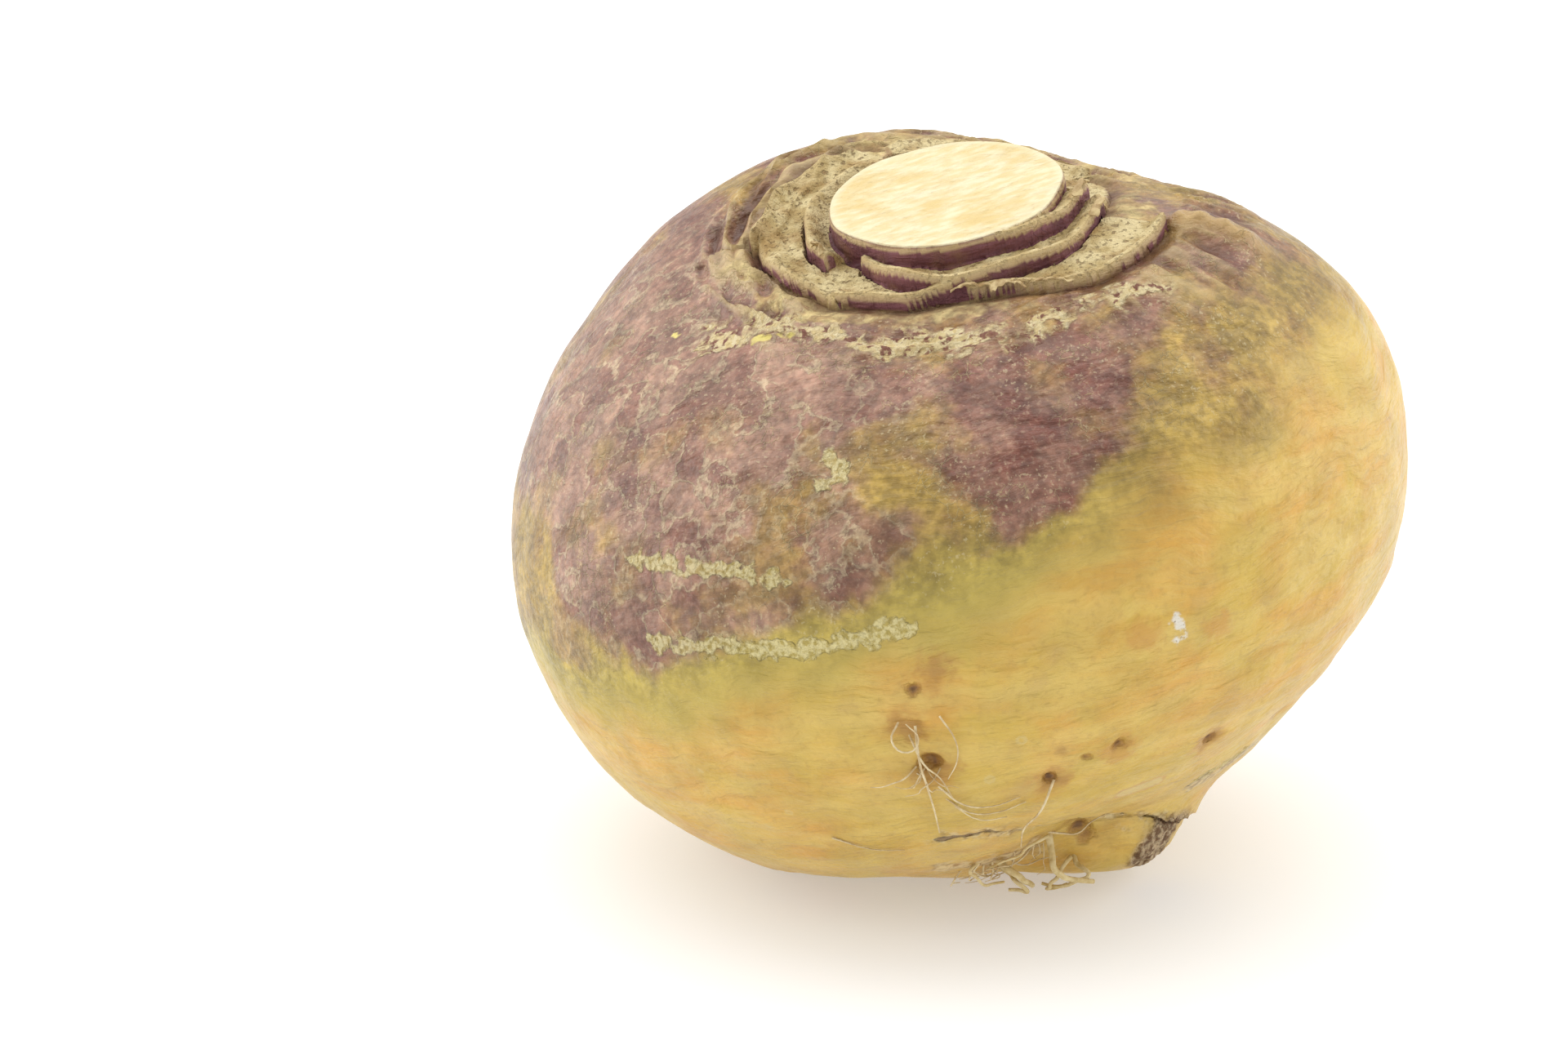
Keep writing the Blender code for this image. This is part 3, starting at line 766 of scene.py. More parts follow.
def warpGroup():
    # shifts the place about, so that a pattern's edges wander
    inputs = [("Place", "Vector", None), ("Size", "Float", 10.0), ("Amount", "Float", 5.0)]
    group, given, out = newGroup("wander", inputs, [("Place", "Vector")])
    scale = maths(group, "DIVIDE", 1.0, given.outputs["Size"])
    texture = put(group, "TexNoise", {"Vector": given.outputs["Place"], "Scale": scale, "Detail": 3.0})
    centring = {0: texture.outputs["Color"], 1: (0.5, 0.5, 0.5)}
    centred = put(group, "VectorMath", centring, operation="SUBTRACT")
    growing = {0: centred.outputs[0], "Scale": given.outputs["Amount"]}
    grown = put(group, "VectorMath", growing, operation="SCALE")
    moved = put(group, "VectorMath", {0: given.outputs["Place"], 1: grown.outputs[0]}, operation="ADD")
    group.links.new(moved.outputs[0], out.inputs["Place"])
    return group


def netGroup():
    # thin broken lines, as where corky skin has split and healed
    inputs = [("Place", "Vector", None), ("Size", "Float", 3.0), ("Thickness", "Float", 0.06)]
    inputs += [("Cover", "Float", 0.5)]
    group, given, out = newGroup("corkNet", inputs, [("Mask", "Float"), ("Cell", "Float")])
    moved = useGroup(group, "wander", {"Place": given.outputs["Place"], "Size": 2.2, "Amount": 2.6})["Place"]
    scale = maths(group, "DIVIDE", 1.0, given.outputs["Size"])
    edges = put(group, "TexVoronoi", {"Vector": moved, "Scale": scale}, feature="DISTANCE_TO_EDGE")
    cells = put(group, "TexVoronoi", {"Vector": moved, "Scale": scale}, feature="F1")
    line = fade(group, edges.outputs["Distance"], given.outputs["Thickness"], 0.0)
    settings = {"Place": given.outputs["Place"], "Size": 6.0, "Detail": 4.0}
    settings["Low"] = minus(group, 1.0, given.outputs["Cover"])
    settings["High"] = minus(group, 1.12, given.outputs["Cover"])
    patch = useGroup(group, "mottle", settings)["Mask"]
    group.links.new(times(group, line, patch), out.inputs["Mask"])
    group.links.new(put(group, "SeparateColor", {0: cells.outputs["Color"]}).outputs[0], out.inputs["Cell"])
    return group


def grainGroup():
    # fine lines that run round an axis, from noise stretched square to it
    inputs = [("Place", "Vector", None), ("Axis", "Vector", (0.0, 0.0, 1.0)), ("Size", "Float", 6.0)]
    inputs += [("Stretch", "Float", 9.0), ("Low", "Float", 0.35), ("High", "Float", 0.65)]
    group, given, out = newGroup("growthLines", inputs, [("Mask", "Float")])
    sides = {0: given.outputs["Place"], 1: given.outputs["Axis"]}
    along = put(group, "VectorMath", sides, operation="DOT_PRODUCT")
    extra = times(group, along.outputs["Value"], given.outputs["Stretch"])
    shift = put(group, "VectorMath", {0: given.outputs["Axis"], "Scale": extra}, operation="SCALE")
    squeezed = put(group, "VectorMath", {0: given.outputs["Place"], 1: shift.outputs[0]}, operation="ADD")
    settings = {"Place": squeezed.outputs[0], "Size": given.outputs["Size"], "Detail": 4.0}
    settings["Low"], settings["High"] = given.outputs["Low"], given.outputs["High"]
    mask = useGroup(group, "mottle", settings)["Mask"]
    group.links.new(mask, out.inputs["Mask"])
    return group


def useGroup(tree, name, inputs):
    made = tree.nodes.new("ShaderNodeGroup")
    made.node_tree = bpy.data.node_groups[name]
    for socketName, value in inputs.items():
        if isinstance(value, bpy.types.NodeSocket):
            tree.links.new(value, made.inputs[socketName])
        else:
            made.inputs[socketName].default_value = value
    return made.outputs


def mottle(tree, place, size, low=0.4, high=0.6, detail=3.0, seed=0.0):
    inputs = {"Place": place, "Size": size, "Low": low, "High": high, "Detail": detail, "Seed": seed}
    return useGroup(tree, "mottle", inputs)["Mask"]


def rootPlace(tree):
    # millimetres from the root's centre
    coordinates = put(tree, "TexCoord").outputs["Object"]
    settings = {"Location": tuple(-value for value in rootShift), "Scale": (1 / mm, 1 / mm, 1 / mm)}
    return put(tree, "Mapping", {"Vector": coordinates, **settings}).outputs[0]


def layer(tree, name):
    return put(tree, "Attribute", attribute_name=name, attribute_type="GEOMETRY").outputs["Fac"]


def dot(tree, place, axis):
    inputs = {0: place, 1: tuple(float(value) for value in axis)}
    return put(tree, "VectorMath", inputs, operation="DOT_PRODUCT").outputs["Value"]


skinLook = {
    "yellow": (0.61, 0.42, 0.075),
    "dryYellow": (0.54, 0.36, 0.12),
    "paleYellow": (0.69, 0.51, 0.14),
    "orange": (0.66, 0.37, 0.07),
    "olive": (0.34, 0.225, 0.05),
    "gold": (0.47, 0.32, 0.075),
    "lime": (0.46, 0.37, 0.075),
    "ochre": (0.43, 0.27, 0.07),
    "umber": (0.32, 0.175, 0.05),
    "mauve": (0.38, 0.22, 0.15),
    "plum": (0.175, 0.062, 0.042),
    "dust": (0.55, 0.40, 0.27),
    "tan": (0.40, 0.27, 0.12),
    "paleTan": (0.59, 0.46, 0.21),
    "bark": (0.26, 0.15, 0.06),
    "rust": (0.50, 0.24, 0.05),
    "cork": (0.58, 0.47, 0.22),
    "speck": (0.70, 0.60, 0.36),
    # painted shade, for crease valleys, the whitish skin's wrinkles and the trench at the foot of the crown's
    # walls
    "creaseShade": (0.13, 0.06, 0.04),
    "scabDark": (0.42, 0.33, 0.10),
    "scabPale": (0.72, 0.64, 0.34),
    "wax": (0.70, 0.69, 0.64),
    "waxDark": (0.25, 0.22, 0.2),
    "mark": (0.66, 0.55, 0.16),
    "dimple": (0.36, 0.20, 0.055),
    "pit": (0.30, 0.14, 0.035),
    # painted shade in the holes' cores
    "pitShadeCore": (0.10, 0.045, 0.02),
    "whitish": (0.66, 0.56, 0.34),
    # painted shade along the fold, where the body overhangs the stub
    "foldShadeLine": (0.16, 0.085, 0.03),
    "crumbDark": (0.20, 0.11, 0.05),
    "crumbPale": (0.56, 0.42, 0.25),
    "leftWay": (-0.80, -0.55, 0.22),
    "lowLeftWay": (-0.6, 0.0, -0.8),
    "purpleCentre": (13.0, -50.0, 27.0),
    "purpleGap": (-13.0, -50.0, 21.0),
    "boundary": (-0.44, 0.0, 1.0, 8.6),  # the plane above which the skin turns green and purple
    "axis": (9.0, -7.0, -50.0),
}
crownLook = {
    "ridge": (0.50, 0.33, 0.13),
    # the walls' own plum, darkened at their foot as painted shade
    "wallDark": (0.10, 0.030, 0.038),
    "wallLight": (0.22, 0.085, 0.095),
    "wallBrown": (0.26, 0.15, 0.06),
    "shelf": (0.46, 0.34, 0.145),
    "shelfPale": (0.68, 0.56, 0.30),
    # partly the lips' own tan, partly a painted highlight on their edges
    "lip": (0.56, 0.42, 0.20),
    "flesh": (0.69, 0.56, 0.30),
    "fleshDeep": (0.63, 0.46, 0.18),
    "fleshPale": (0.77, 0.69, 0.48),
}


def skinMaterial():
    material = bpy.data.materials.new("rutabagaSkin")
    material.use_nodes = True
    tree = material.node_tree
    shader = tree.nodes["Principled BSDF"]
    look = skinLook
    place = rootPlace(tree)
    loose = useGroup(tree, "wander", {"Place": place, "Size": 14.0, "Amount": 16.0})["Place"]
    ragged = useGroup(tree, "wander", {"Place": place, "Size": 2.5, "Amount": 2.2})["Place"]
    bent = useGroup(tree, "wander", {"Place": place, "Size": 22.0, "Amount": 9.0})["Place"]
    lines = {"Place": bent, "Axis": tuple(unit(look["axis"]).tolist())}
    fineLines = useGroup(tree, "growthLines", {**lines, "Size": 5.0, "Stretch": 12.0})["Mask"]
    broadLines = useGroup(tree, "growthLines", {**lines, "Size": 16.0, "Stretch": 4.0})["Mask"]

    # yellow below
    yellow = weave(tree, mottle(tree, loose, 15, 0.35, 0.65, seed=1.0), look["yellow"], look["orange"])
    yellow = tint(tree, broadLines, 0.65, yellow, look["paleYellow"])
    yellow = tint(tree, fineLines, 0.07, yellow, look["ochre"])
    grains = times(tree, mottle(tree, place, 0.9, 0.5, 0.72, 4.0, seed=34.0), 0.28)
    yellow = weave(tree, grains, yellow, look["ochre"])
    dry = {**lines, "Size": 3.0, "Stretch": 3.2, "Low": 0.5, "High": 0.6}
    dryLines = useGroup(tree, "growthLines", dry)["Mask"]
    yellow = tint(tree, dryLines, 0.2, yellow, look["paleYellow"])
    worn = mottle(tree, ragged, 9.0, 0.55, 0.75, 6.0, seed=29.0)
    yellow = tint(tree, worn, 0.5, yellow, look["dryYellow"])

    # green and olive over it
    *tilt, level = look["boundary"]
    height = minus(tree, dot(tree, loose, tilt), level)
    green = weave(tree, mottle(tree, loose, 10, 0.35, 0.65, 6.0, seed=2.0), look["olive"], look["gold"])
    green = weave(tree, mottle(tree, ragged, 7, 0.45, 0.75, 7.0, seed=3.0), green, look["umber"])
    green = tint(tree, fineLines, 0.3, green, look["gold"])
    colour = weave(tree, fade(tree, height, -5.0, 6.0), yellow, green)
    limeBand = times(tree, fade(tree, height, -11.0, 0.0), fade(tree, height, 12.0, 3.0))
    limeBand = times(tree, limeBand, fade(tree, dot(tree, place, (1.0, 0, 0)), 34.0, 0.0))
    colour = tint(tree, limeBand, 0.75, colour, look["lime"])

    # purple in patches
    field = times(tree, fade(tree, height, 0.0, 12.0), 0.2)
    leftSide = fade(tree, dot(tree, loose, look["leftWay"]), 27.0, 46.0)
    field = plus(tree, field, times(tree, leftSide, 0.55))
    centre = distanceTo(tree, loose, look["purpleCentre"])
    field = plus(tree, field, times(tree, fade(tree, centre, 21.0, 3.0), 0.55))
    gap = distanceTo(tree, loose, look["purpleGap"])
    field = minus(tree, field, times(tree, fade(tree, gap, 17.0, 5.0), 0.35))
    lowLeft = fade(tree, dot(tree, loose, look["lowLeftWay"]), 30.0, 37.0)
    field = minus(tree, field, times(tree, lowLeft, 0.6))
    upward = fade(tree, dot(tree, place, crownUp), 30.0, 42.0)
    field = plus(tree, field, times(tree, upward, 0.4))
    patches = mottle(tree, ragged, 10, 0.32, 0.68, 8.0, seed=4.0)
    field = plus(tree, field, times(tree, patches, 0.62))
    field = times(tree, field, fade(tree, height, -1.0, 8.0))
    # on the left a dusty film has split away from darker skin along crisp edges
    film = mottle(tree, ragged, 7, 0.46, 0.52, 9.0, seed=5.0)
    filmRim = times(tree, times(tree, film, minus(tree, 1.0, film)), 4.0)
    filmRim = times(tree, filmRim, leftSide)
    softPurple = times(tree, mottle(tree, ragged, 5, 0.35, 0.65, 7.0, seed=32.0), 0.5)
    mild = plus(tree, 0.25, times(tree, film, 0.35))
    mild = plus(tree, mild, times(tree, softPurple, 0.9))
    film = between(tree, leftSide, softPurple, mild)
    purple = weave(tree, film, look["plum"], look["mauve"])
    speckle = mottle(tree, place, 0.7, 0.52, 0.72, 4.0, seed=6.0)
    purple = tint(tree, speckle, 0.35, purple, look["dust"])
    purpleMask = fade(tree, field, 0.44, 1.14)
    colour = weave(tree, purpleMask, colour, purple)
    filmRim = times(tree, filmRim, purpleMask)
    colour = tint(tree, filmRim, 0.4, colour, look["speck"])

    # corky tan skin near the crown
    reach = distanceTo(tree, ragged, crownCentre)
    near = fade(tree, reach, 40.0, 26.0)
    near = times(tree, near, 0.8)
    tanField = plus(tree, near, times(tree, mottle(tree, ragged, 6, 0.3, 0.7, 6.0, seed=8.0), 0.6))
    tanMask = fade(tree, tanField, 0.78, 1.12)
    tan = weave(tree, mottle(tree, ragged, 2.6, 0.4, 0.6, 5.0, seed=9.0), look["tan"], look["paleTan"])
    tan = tint(tree, mottle(tree, place, 1.0, 0.55, 0.7, 5.0, seed=10.0), 0.6, tan, look["bark"])
    colour = weave(tree, tanMask, colour, tan)
    net = useGroup(tree, "corkNet", {"Place": place, "Size": 1.9, "Thickness": 0.055, "Cover": 0.5})
    drop = layer(tree, "drop")
    cut = times(tree, layer(tree, "cutTop"), fade(tree, drop, 0.32, 0.12))
    netMask = times(tree, net["Mask"], fade(tree, height, 0.0, 14.0))
    netMask = times(tree, netMask, minus(tree, 1.0, cut))
    colour = tint(tree, netMask, 0.4, colour, look["cork"])

    upper = fade(tree, height, -4.0, 8.0)
    broad = plus(tree, 0.74, times(tree, mottle(tree, ragged, 6.0, 0.3, 0.7, 6.0, seed=23.0), 0.42))
    fine = plus(tree, 0.70, times(tree, mottle(tree, place, 1.3, 0.3, 0.7, 6.0, seed=24.0), 0.50))
    fine = between(tree, upper, 1.0, fine)
    broad = between(tree, plus(tree, 0.35, times(tree, upper, 0.65)), 1.0, broad)
    shade = times(tree, broad, fine)
    colour = put(tree, "VectorMath", {0: colour, "Scale": shade}, operation="SCALE").outputs[0]
    dotPatches = times(tree, upper, mottle(tree, place, 11.0, 0.42, 0.6, 3.0, seed=27.0))
    brightDots = times(tree, mottle(tree, place, 0.6, 0.61, 0.68, 2.0, seed=25.0), dotPatches)
    colour = tint(tree, brightDots, 0.35, colour, look["speck"])
    crease = layer(tree, "crease")
    # painted shade in the crust's crease valleys, and a painted highlight on its crests
    colour = tint(tree, fade(tree, crease, 0.15, -0.5), 0.85, colour, look["creaseShade"])
    colour = tint(tree, fade(tree, crease, 0.25, 0.95), 0.5, colour, look["paleTan"])

    # cracked band, scabs, spots and pits
    edge = times(tree, minus(tree, mottle(tree, place, 2.0, 0.2, 0.8, 5.0, seed=11.0), 0.5), 2.4)
    flakes = useGroup(tree, "corkNet", {"Place": ragged, "Size": 0.7, "Thickness": 0.2, "Cover": 0.6})
    flakeColour = weave(tree, flakes["Cell"], look["speck"], look["paleTan"])
    flakeColour = weave(tree, mottle(tree, ragged, 1.3, 0.5, 0.62, 6.0, seed=26.0), flakeColour, look["plum"])
    flakeColour = tint(tree, flakes["Mask"], 0.3, flakeColour, look["bark"])
    crackEdge = mottle(tree, ragged, 3.5, 0.25, 0.75, 6.0, seed=22.0)
    crackGap = plus(tree, layer(tree, "crackBand"), times(tree, crackEdge, 5.5))
    crack = fade(tree, crackGap, 5.6, 3.6)
    scab = fade(tree, plus(tree, layer(tree, "scab"), edge), 1.5, 0.8)
    colour = tint(tree, crack, 0.9, colour, flakeColour)
    scabGrain = mottle(tree, place, 0.7, 0.35, 0.6, 4.0, seed=31.0)
    scabColour = weave(tree, scabGrain, look["scabDark"], look["scabPale"])
    colour = tint(tree, scab, 0.7, colour, scabColour)
    oval = spotMask(tree, layer(tree, "oval"), edge, 0.3, 1.5, 1.0)
    ovalRim = times(tree, oval, fade(tree, layer(tree, "oval"), 0.7, 1.1))
    colour = tint(tree, oval, 0.6, colour, look["paleTan"])
    colour = tint(tree, ovalRim, 0.6, colour, look["rust"])
    mark = spotMask(tree, layer(tree, "yellowMark"), edge, 0.4, 1.1, 0.7)
    colour = weave(tree, mark, colour, look["mark"])
    stain = fade(tree, plus(tree, layer(tree, "stain"), edge), 3.6, 0.6)
    colour = tint(tree, stain, 0.6, colour, look["rust"])
    wax = spotMask(tree, layer(tree, "waxSpot"), edge, 0.8, 1.1, 0.4)
    waxGrain = mottle(tree, place, 0.45, 0.56, 0.66, 3.0, seed=12.0)
    waxColour = weave(tree, waxGrain, look["wax"], look["waxDark"])
    colour = tint(tree, wax, 0.8, colour, waxColour)
    rust = spotMask(tree, layer(tree, "rustSpot"), edge, 1.3, 4.2, 0.8)
    colour = tint(tree, rust, 0.6, colour, look["rust"])
    lenticel = layer(tree, "lenticel")
    ring = times(tree, fade(tree, lenticel, 0.3, 0.6), fade(tree, lenticel, 1.0, 0.7))
    colour = tint(tree, ring, 0.4, colour, look["cork"])
    pit = layer(tree, "pit")
    dimple = spotMask(tree, layer(tree, "dimple"), edge, 0.35, 1.1, 0.2)
    colour = tint(tree, dimple, 0.6, colour, look["dimple"])
    pitMask = spotMask(tree, pit, edge, 0.3, 1.2, 0.4)
    colour = tint(tree, pitMask, 0.75, colour, look["pit"])
    # painted shade: the holes' cores are dark
    pitShadeCore = spotMask(tree, pit, edge, 0.3, 0.6, 0.15)
    colour = tint(tree, pitShadeCore, 0.75, colour, look["pitShadeCore"])

    # stub: fold line with its painted shade, whitish wrinkled skin with painted shade in its wrinkles, and
    # the rough end
    fold = layer(tree, "fold")
    pale = maths(tree, "MINIMUM", layer(tree, "whiteSkin"), plus(tree, fold, 1.2))
    whitish = spotMask(tree, pale, edge, 1.6, 3.4, 1.0)
    # whitish skin, with painted shade in its wrinkles
    wrinkles = mottle(tree, ragged, 1.2, 0.4, 0.62, 6.0, seed=28.0)
    wrinkled = weave(tree, wrinkles, look["whitish"], look["creaseShade"])
    colour = tint(tree, whitish, 0.55, colour, wrinkled)
    # painted shade: a dark line along the fold, where the body overhangs the stub
    foldShadeLine = spotMask(tree, fold, edge, 0.3, 0.8, 0.1)
    colour = tint(tree, foldShadeLine, 0.85, colour, look["foldShadeLine"])
    endFace = layer(tree, "endFace")
    crumbGrain = mottle(tree, place, 1.2, 0.4, 0.6, 6.0, seed=13.0)
    crumb = weave(tree, crumbGrain, look["crumbDark"], look["crumbPale"])
    colour = weave(tree, endFace, colour, crumb)

    # crown: ridge, walls, shelves, lips and the cut
    flatWays = {0: dot(tree, place, crownRight), 1: dot(tree, place, crownBack)}
    flatPlace = put(tree, "CombineXYZ", flatWays).outputs[0]
    ribs = mottle(tree, flatPlace, 1.5, 0.35, 0.65, 4.0, seed=14.0)
    finePits = mottle(tree, place, 0.8, 0.56, 0.7, 4.0, seed=15.0)
    shelfGrain = mottle(tree, place, 3.5, 0.38, 0.62, 6.0, seed=16.0)
    shelfColour = weave(tree, shelfGrain, crownLook["shelf"], crownLook["shelfPale"])
    shelfColour = tint(tree, finePits, 0.7, shelfColour, look["bark"])
    browned = times(tree, mottle(tree, ragged, 5.0, 0.48, 0.68, 6.0, seed=35.0), 0.6)
    shelfColour = weave(tree, browned, shelfColour, look["umber"])
    # the walls' plum tone, with painted shade making them darker towards their foot
    wallToneShadedDeep = plus(tree, mottle(tree, place, 5.0, 0.3, 0.7, 4.0, seed=33.0), times(tree, ribs, 0.3))
    wallToneShadedDeep = times(tree, wallToneShadedDeep, fade(tree, drop, 4.5, 0.5))
    wallColour = weave(tree, wallToneShadedDeep, crownLook["wallDark"], crownLook["wallLight"])
    brownish = times(tree, mottle(tree, place, 4.0, 0.5, 0.72, 5.0, seed=17.0), 0.35)
    wallColour = weave(tree, brownish, wallColour, crownLook["wallBrown"])
    shelf, lip = layer(tree, "shelf"), layer(tree, "lip")
    wall = fade(tree, drop, 0.1, 0.6)
    wall = maths(tree, "MAXIMUM", wall, minus(tree, layer(tree, "cutTop"), cut))
    # painted shade in the trench along the foot of the outer walls
    colour = tint(tree, layer(tree, "trench"), 0.6, colour, look["creaseShade"])
    colour = tint(tree, layer(tree, "ridge"), 0.8, colour, crownLook["ridge"])
    colour = weave(tree, shelf, colour, shelfColour)
    colour = weave(tree, wall, colour, wallColour)
    # the lips' thin edges paler: partly their own dry tan, partly a painted highlight
    colour = tint(tree, lip, 0.8, colour, crownLook["lip"])
    fibreAxis = tuple((crownBack * 0.9 - crownRight * 0.43).tolist())
    fibre = {"Place": place, "Axis": fibreAxis, "Size": 3.2, "Stretch": 1.8}
    fibres = useGroup(tree, "growthLines", {**fibre, "Low": 0.36, "High": 0.64})["Mask"]
    flesh = tint(tree, fibres, 0.75, crownLook["flesh"], crownLook["fleshPale"])
    flesh = tint(tree, mottle(tree, place, 7.0, 0.45, 0.65, 5.0), 0.6, flesh, crownLook["fleshDeep"])
    flesh = tint(tree, fade(tree, layer(tree, "rim"), 1.5, 0.2), 0.5, flesh, crownLook["fleshPale"])
    colour = weave(tree, cut, colour, flesh)
    tree.links.new(colour, shader.inputs["Base Color"])

    # relief in millimetres
    grit = plus(tree, 0.02, times(tree, upper, 0.07))
    relief = times(tree, mottle(tree, place, 0.9, 0.2, 0.8, 5.0, seed=18.0), grit)
    rippling = {**lines, "Size": 8.0, "Stretch": 2.6, "Low": 0.3, "High": 0.7}
    ripples = useGroup(tree, "growthLines", rippling)["Mask"]
    lumps = mottle(tree, ragged, 4.0, 0.2, 0.8, 4.0, seed=19.0)
    raised = maths(tree, "MAXIMUM", scab, times(tree, crack, 0.8))
    crust = mottle(tree, place, 0.8, 0.25, 0.75, 5.0, seed=30.0)
    flakeHeight = plus(tree, 0.12, times(tree, crust, 0.35))
    dusty = times(tree, mottle(tree, place, 0.5, 0.3, 0.7, 5.0, seed=20.0), 0.16)
    rough = times(tree, mottle(tree, place, 0.8, 0.25, 0.75, 6.0, seed=21.0), 0.7)
    reliefSteps = [
        ("ADD", fineLines, 0.012),
        ("ADD", ripples, 0.35),
        ("ADD", filmRim, 0.12),
        ("ADD", dryLines, 0.03),
        ("ADD", lumps, 0.16),
        ("ADD", netMask, 0.10),
        ("ADD", tanMask, 0.08),
        ("ADD", raised, flakeHeight),
        ("SUBTRACT", pitMask, 0.35),
        ("SUBTRACT", foldShadeLine, 0.9),
        ("ADD", times(tree, wall, ribs), 0.22),
        ("ADD", shelf, dusty),
        ("SUBTRACT", times(tree, shelf, finePits), 0.3),
        ("ADD", times(tree, cut, fibres), 0.06),
        ("ADD", endFace, rough),
    ]
    for operation, mask, amount in reliefSteps:
        relief = maths(tree, operation, relief, times(tree, mask, amount))
    bump = put(tree, "Bump", {"Height": relief, "Distance": mm, "Strength": 1.0})
    tree.links.new(bump.outputs[0], shader.inputs["Normal"])

    corky = maths(tree, "MAXIMUM", shelf, tanMask)
    dull = maths(tree, "MAXIMUM", corky, maths(tree, "MAXIMUM", raised, endFace))
    dull = maths(tree, "MAXIMUM", dull, times(tree, wall, 0.6))
    gloss = plus(tree, 0.35, times(tree, dull, 0.38))
    gloss = plus(tree, gloss, times(tree, speckle, 0.12))
    gloss = plus(tree, gloss, times(tree, cut, 0.15))
    tree.links.new(gloss, shader.inputs["Roughness"])
    shader.inputs["Specular IOR Level"].default_value = 0.33
    return material


mottleGroup()
warpGroup()
netGroup()
grainGroup()
root.data.materials.clear()
root.data.materials.append(skinMaterial())
print("skin painted")


rootletForm = {
    "thick": [
        (1.25, [(5.8, -35, -41.3), (7.5, -36.5, -42.3), (9.3, -35.5, -44.3), (10.6, -34, -45.6)]),
        (1.15, [(12.9, -34.5, -39), (13.2, -36, -42), (15.5, -35, -44), (19.2, -33, -45.3)]),
        (0.8, [(7, -34, -44.0), (8.6, -36, -44.8), (9.6, -35, -45.8), (6.8, -34, -46)]),
        (0.8, [(17, -31.5, -43), (18.2, -33, -44.5), (15.5, -33.4, -45.6), (11.5, -33, -45.8)]),
        (0.6, [(3, -38, -39.5), (1.4, -39.5, -41), (3.4, -38.8, -43), (6.2, -36.5, -43.6)]),
        (0.5, [(10.5, -39, -36.8), (8.4, -39.2, -38.2), (6.0, -38, -40), (4.0, -37.4, -41.6)]),
        (0.7, [(14.5, -33, -43.5), (13, -34.6, -45), (12.4, -33.5, -46.3), (15.5, -32, -46.4)]),
    ],
    "sunk": 2.5,
    "taper": 0.4,
    "wander": 0.25,
    "sides": 5,  # of the bevel's round, on each quarter
}
hairForm = {
    # (thickness, [(azimuth, polar, lift off the skin)])
    "long": [
        (
            0.42,
            [
                (-95.8, 99.2, -0.6),
                (-95.2, 103, 1.6),
                (-94.4, 108, 1.0),
                (-93.6, 113, 0.8),
                (-93.0, 117.5, 1.4),
            ],
        ),
        (0.34, [(-96.6, 100.5, -0.4), (-94.6, 103.5, 2.0), (-92.6, 106.5, 1.2), (-91.0, 109.5, 1.8)]),
        (
            0.34,
            [
                (-97.9, 98.6, -0.4),
                (-98.6, 100.6, 1.2),
                (-96.6, 102.0, 1.6),
                (-95.2, 100.2, 1.2),
                (-96.8, 98.2, 0.8),
            ],
        ),
        (0.30, [(-92.6, 97.2, 0.3), (-90.6, 100.5, 0.9), (-90.4, 104.0, 0.7), (-91.6, 107.2, 0.6)]),
        (0.30, [(-93.0, 109.0, 0.0), (-89.5, 112.0, 0.9), (-85.5, 113.0, 0.7), (-81.5, 111.8, 0.4)]),
        (0.26, [(-92.0, 111.5, 0.0), (-88.5, 114.0, 0.8), (-84.5, 114.6, 0.6), (-80.5, 113.2, 0.3)]),
        (0.24, [(-91.0, 113.0, 0.0), (-87.0, 116.0, 0.7), (-83.0, 116.2, 0.5)]),
        (0.40, [(-76.6, 110.0, -0.6), (-78.4, 114.0, 1.6), (-80.2, 119.0, 1.4), (-80.0, 124.0, 2.6)]),
        (0.24, [(-110.0, 121.0, 0.1), (-104.0, 123.5, 0.4), (-99.0, 124.2, 0.2)]),
    ],
    "tuft": {
        "count": 16,
        "spread": 6.5,
        "length": (4, 9),
        "thickness": (0.18, 0.36),
        "seed": 4,
        "heading": (-70, 70),
    },
    "tuftPlace": (7.0, -36.5, -41.0),
    "pitTuft": {
        "count": 6,
        "spread": 2.0,
        "length": (3, 5),
        "thickness": (0.18, 0.3),
        "seed": 12,
        "heading": (-25, 60),
    },
    "pitTuftPlace": (-4.6, -58.6, -17.0),
    "lifts": (-0.8, 0.9, 1.5, 1.2, 0.9),  # off the skin, from each tuft hair's root to its tip
    "skinRadius": 58,  # the skin's rough distance from the centre
    "lowestPolar": 150,
}


def curvePiece(name, routes, resolution, sides):
    # routes become round cords with closed ends, joined in one mesh
    bpy.ops.object.select_all(action="DESELECT")
    bpy.ops.curve.primitive_nurbs_path_add()
    piece = bpy.context.object
    piece.name = name
    curve = piece.data
    curve.splines.clear()
    for thickness, taper, points in routes:
        line = curve.splines.new("BEZIER")
        line.bezier_points.add(len(points) - 1)
        for index, (knot, point) in enumerate(zip(line.bezier_points, points)):
            knot.co = [(value + offset) * mm for value, offset in zip(point, rootShift)]
            knot.handle_left_type = knot.handle_right_type = "AUTO"
            knot.radius = thickness / 2 * (1 - taper * index / (len(points) - 1))
        line.resolution_u = resolution
    curve.dimensions = "3D"
    curve.bevel_depth = mm
    curve.bevel_resolution = sides
    curve.use_fill_caps = True
    bpy.ops.object.convert(target="MESH")
    bpy.ops.object.shade_smooth()
    piece = bpy.context.object
    piece.location = (0, 0, 0)
    return piece


def dress(piece, material):
    piece.data.materials.clear()
    piece.data.materials.append(material)
    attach(piece, "root")


def wavering(points, amount, draw):
    # the same route with more knots, pushed about a little
    made = [points[0]]
    for start, end in zip(points, points[1:]):
        for share in (0.5, 1.0):
            spot = [a + (b - a) * share + draw.uniform(-amount, amount) for a, b in zip(start, end)]
            made.append(spot)
    return made


def makeRootlets(material):
    draw = random.Random(3)
    routes = []
    for thickness, points in rootletForm["thick"]:
        first, second = np.array(points[0], float), np.array(points[1], float)
        inner = first + unit(first - second) * rootletForm["sunk"]
        route = wavering([tuple(inner), *points], rootletForm["wander"], draw)
        routes.append((thickness, rootletForm["taper"], route))
    piece = curvePiece("rootlets", routes, 5, rootletForm["sides"])
    dress(piece, material)


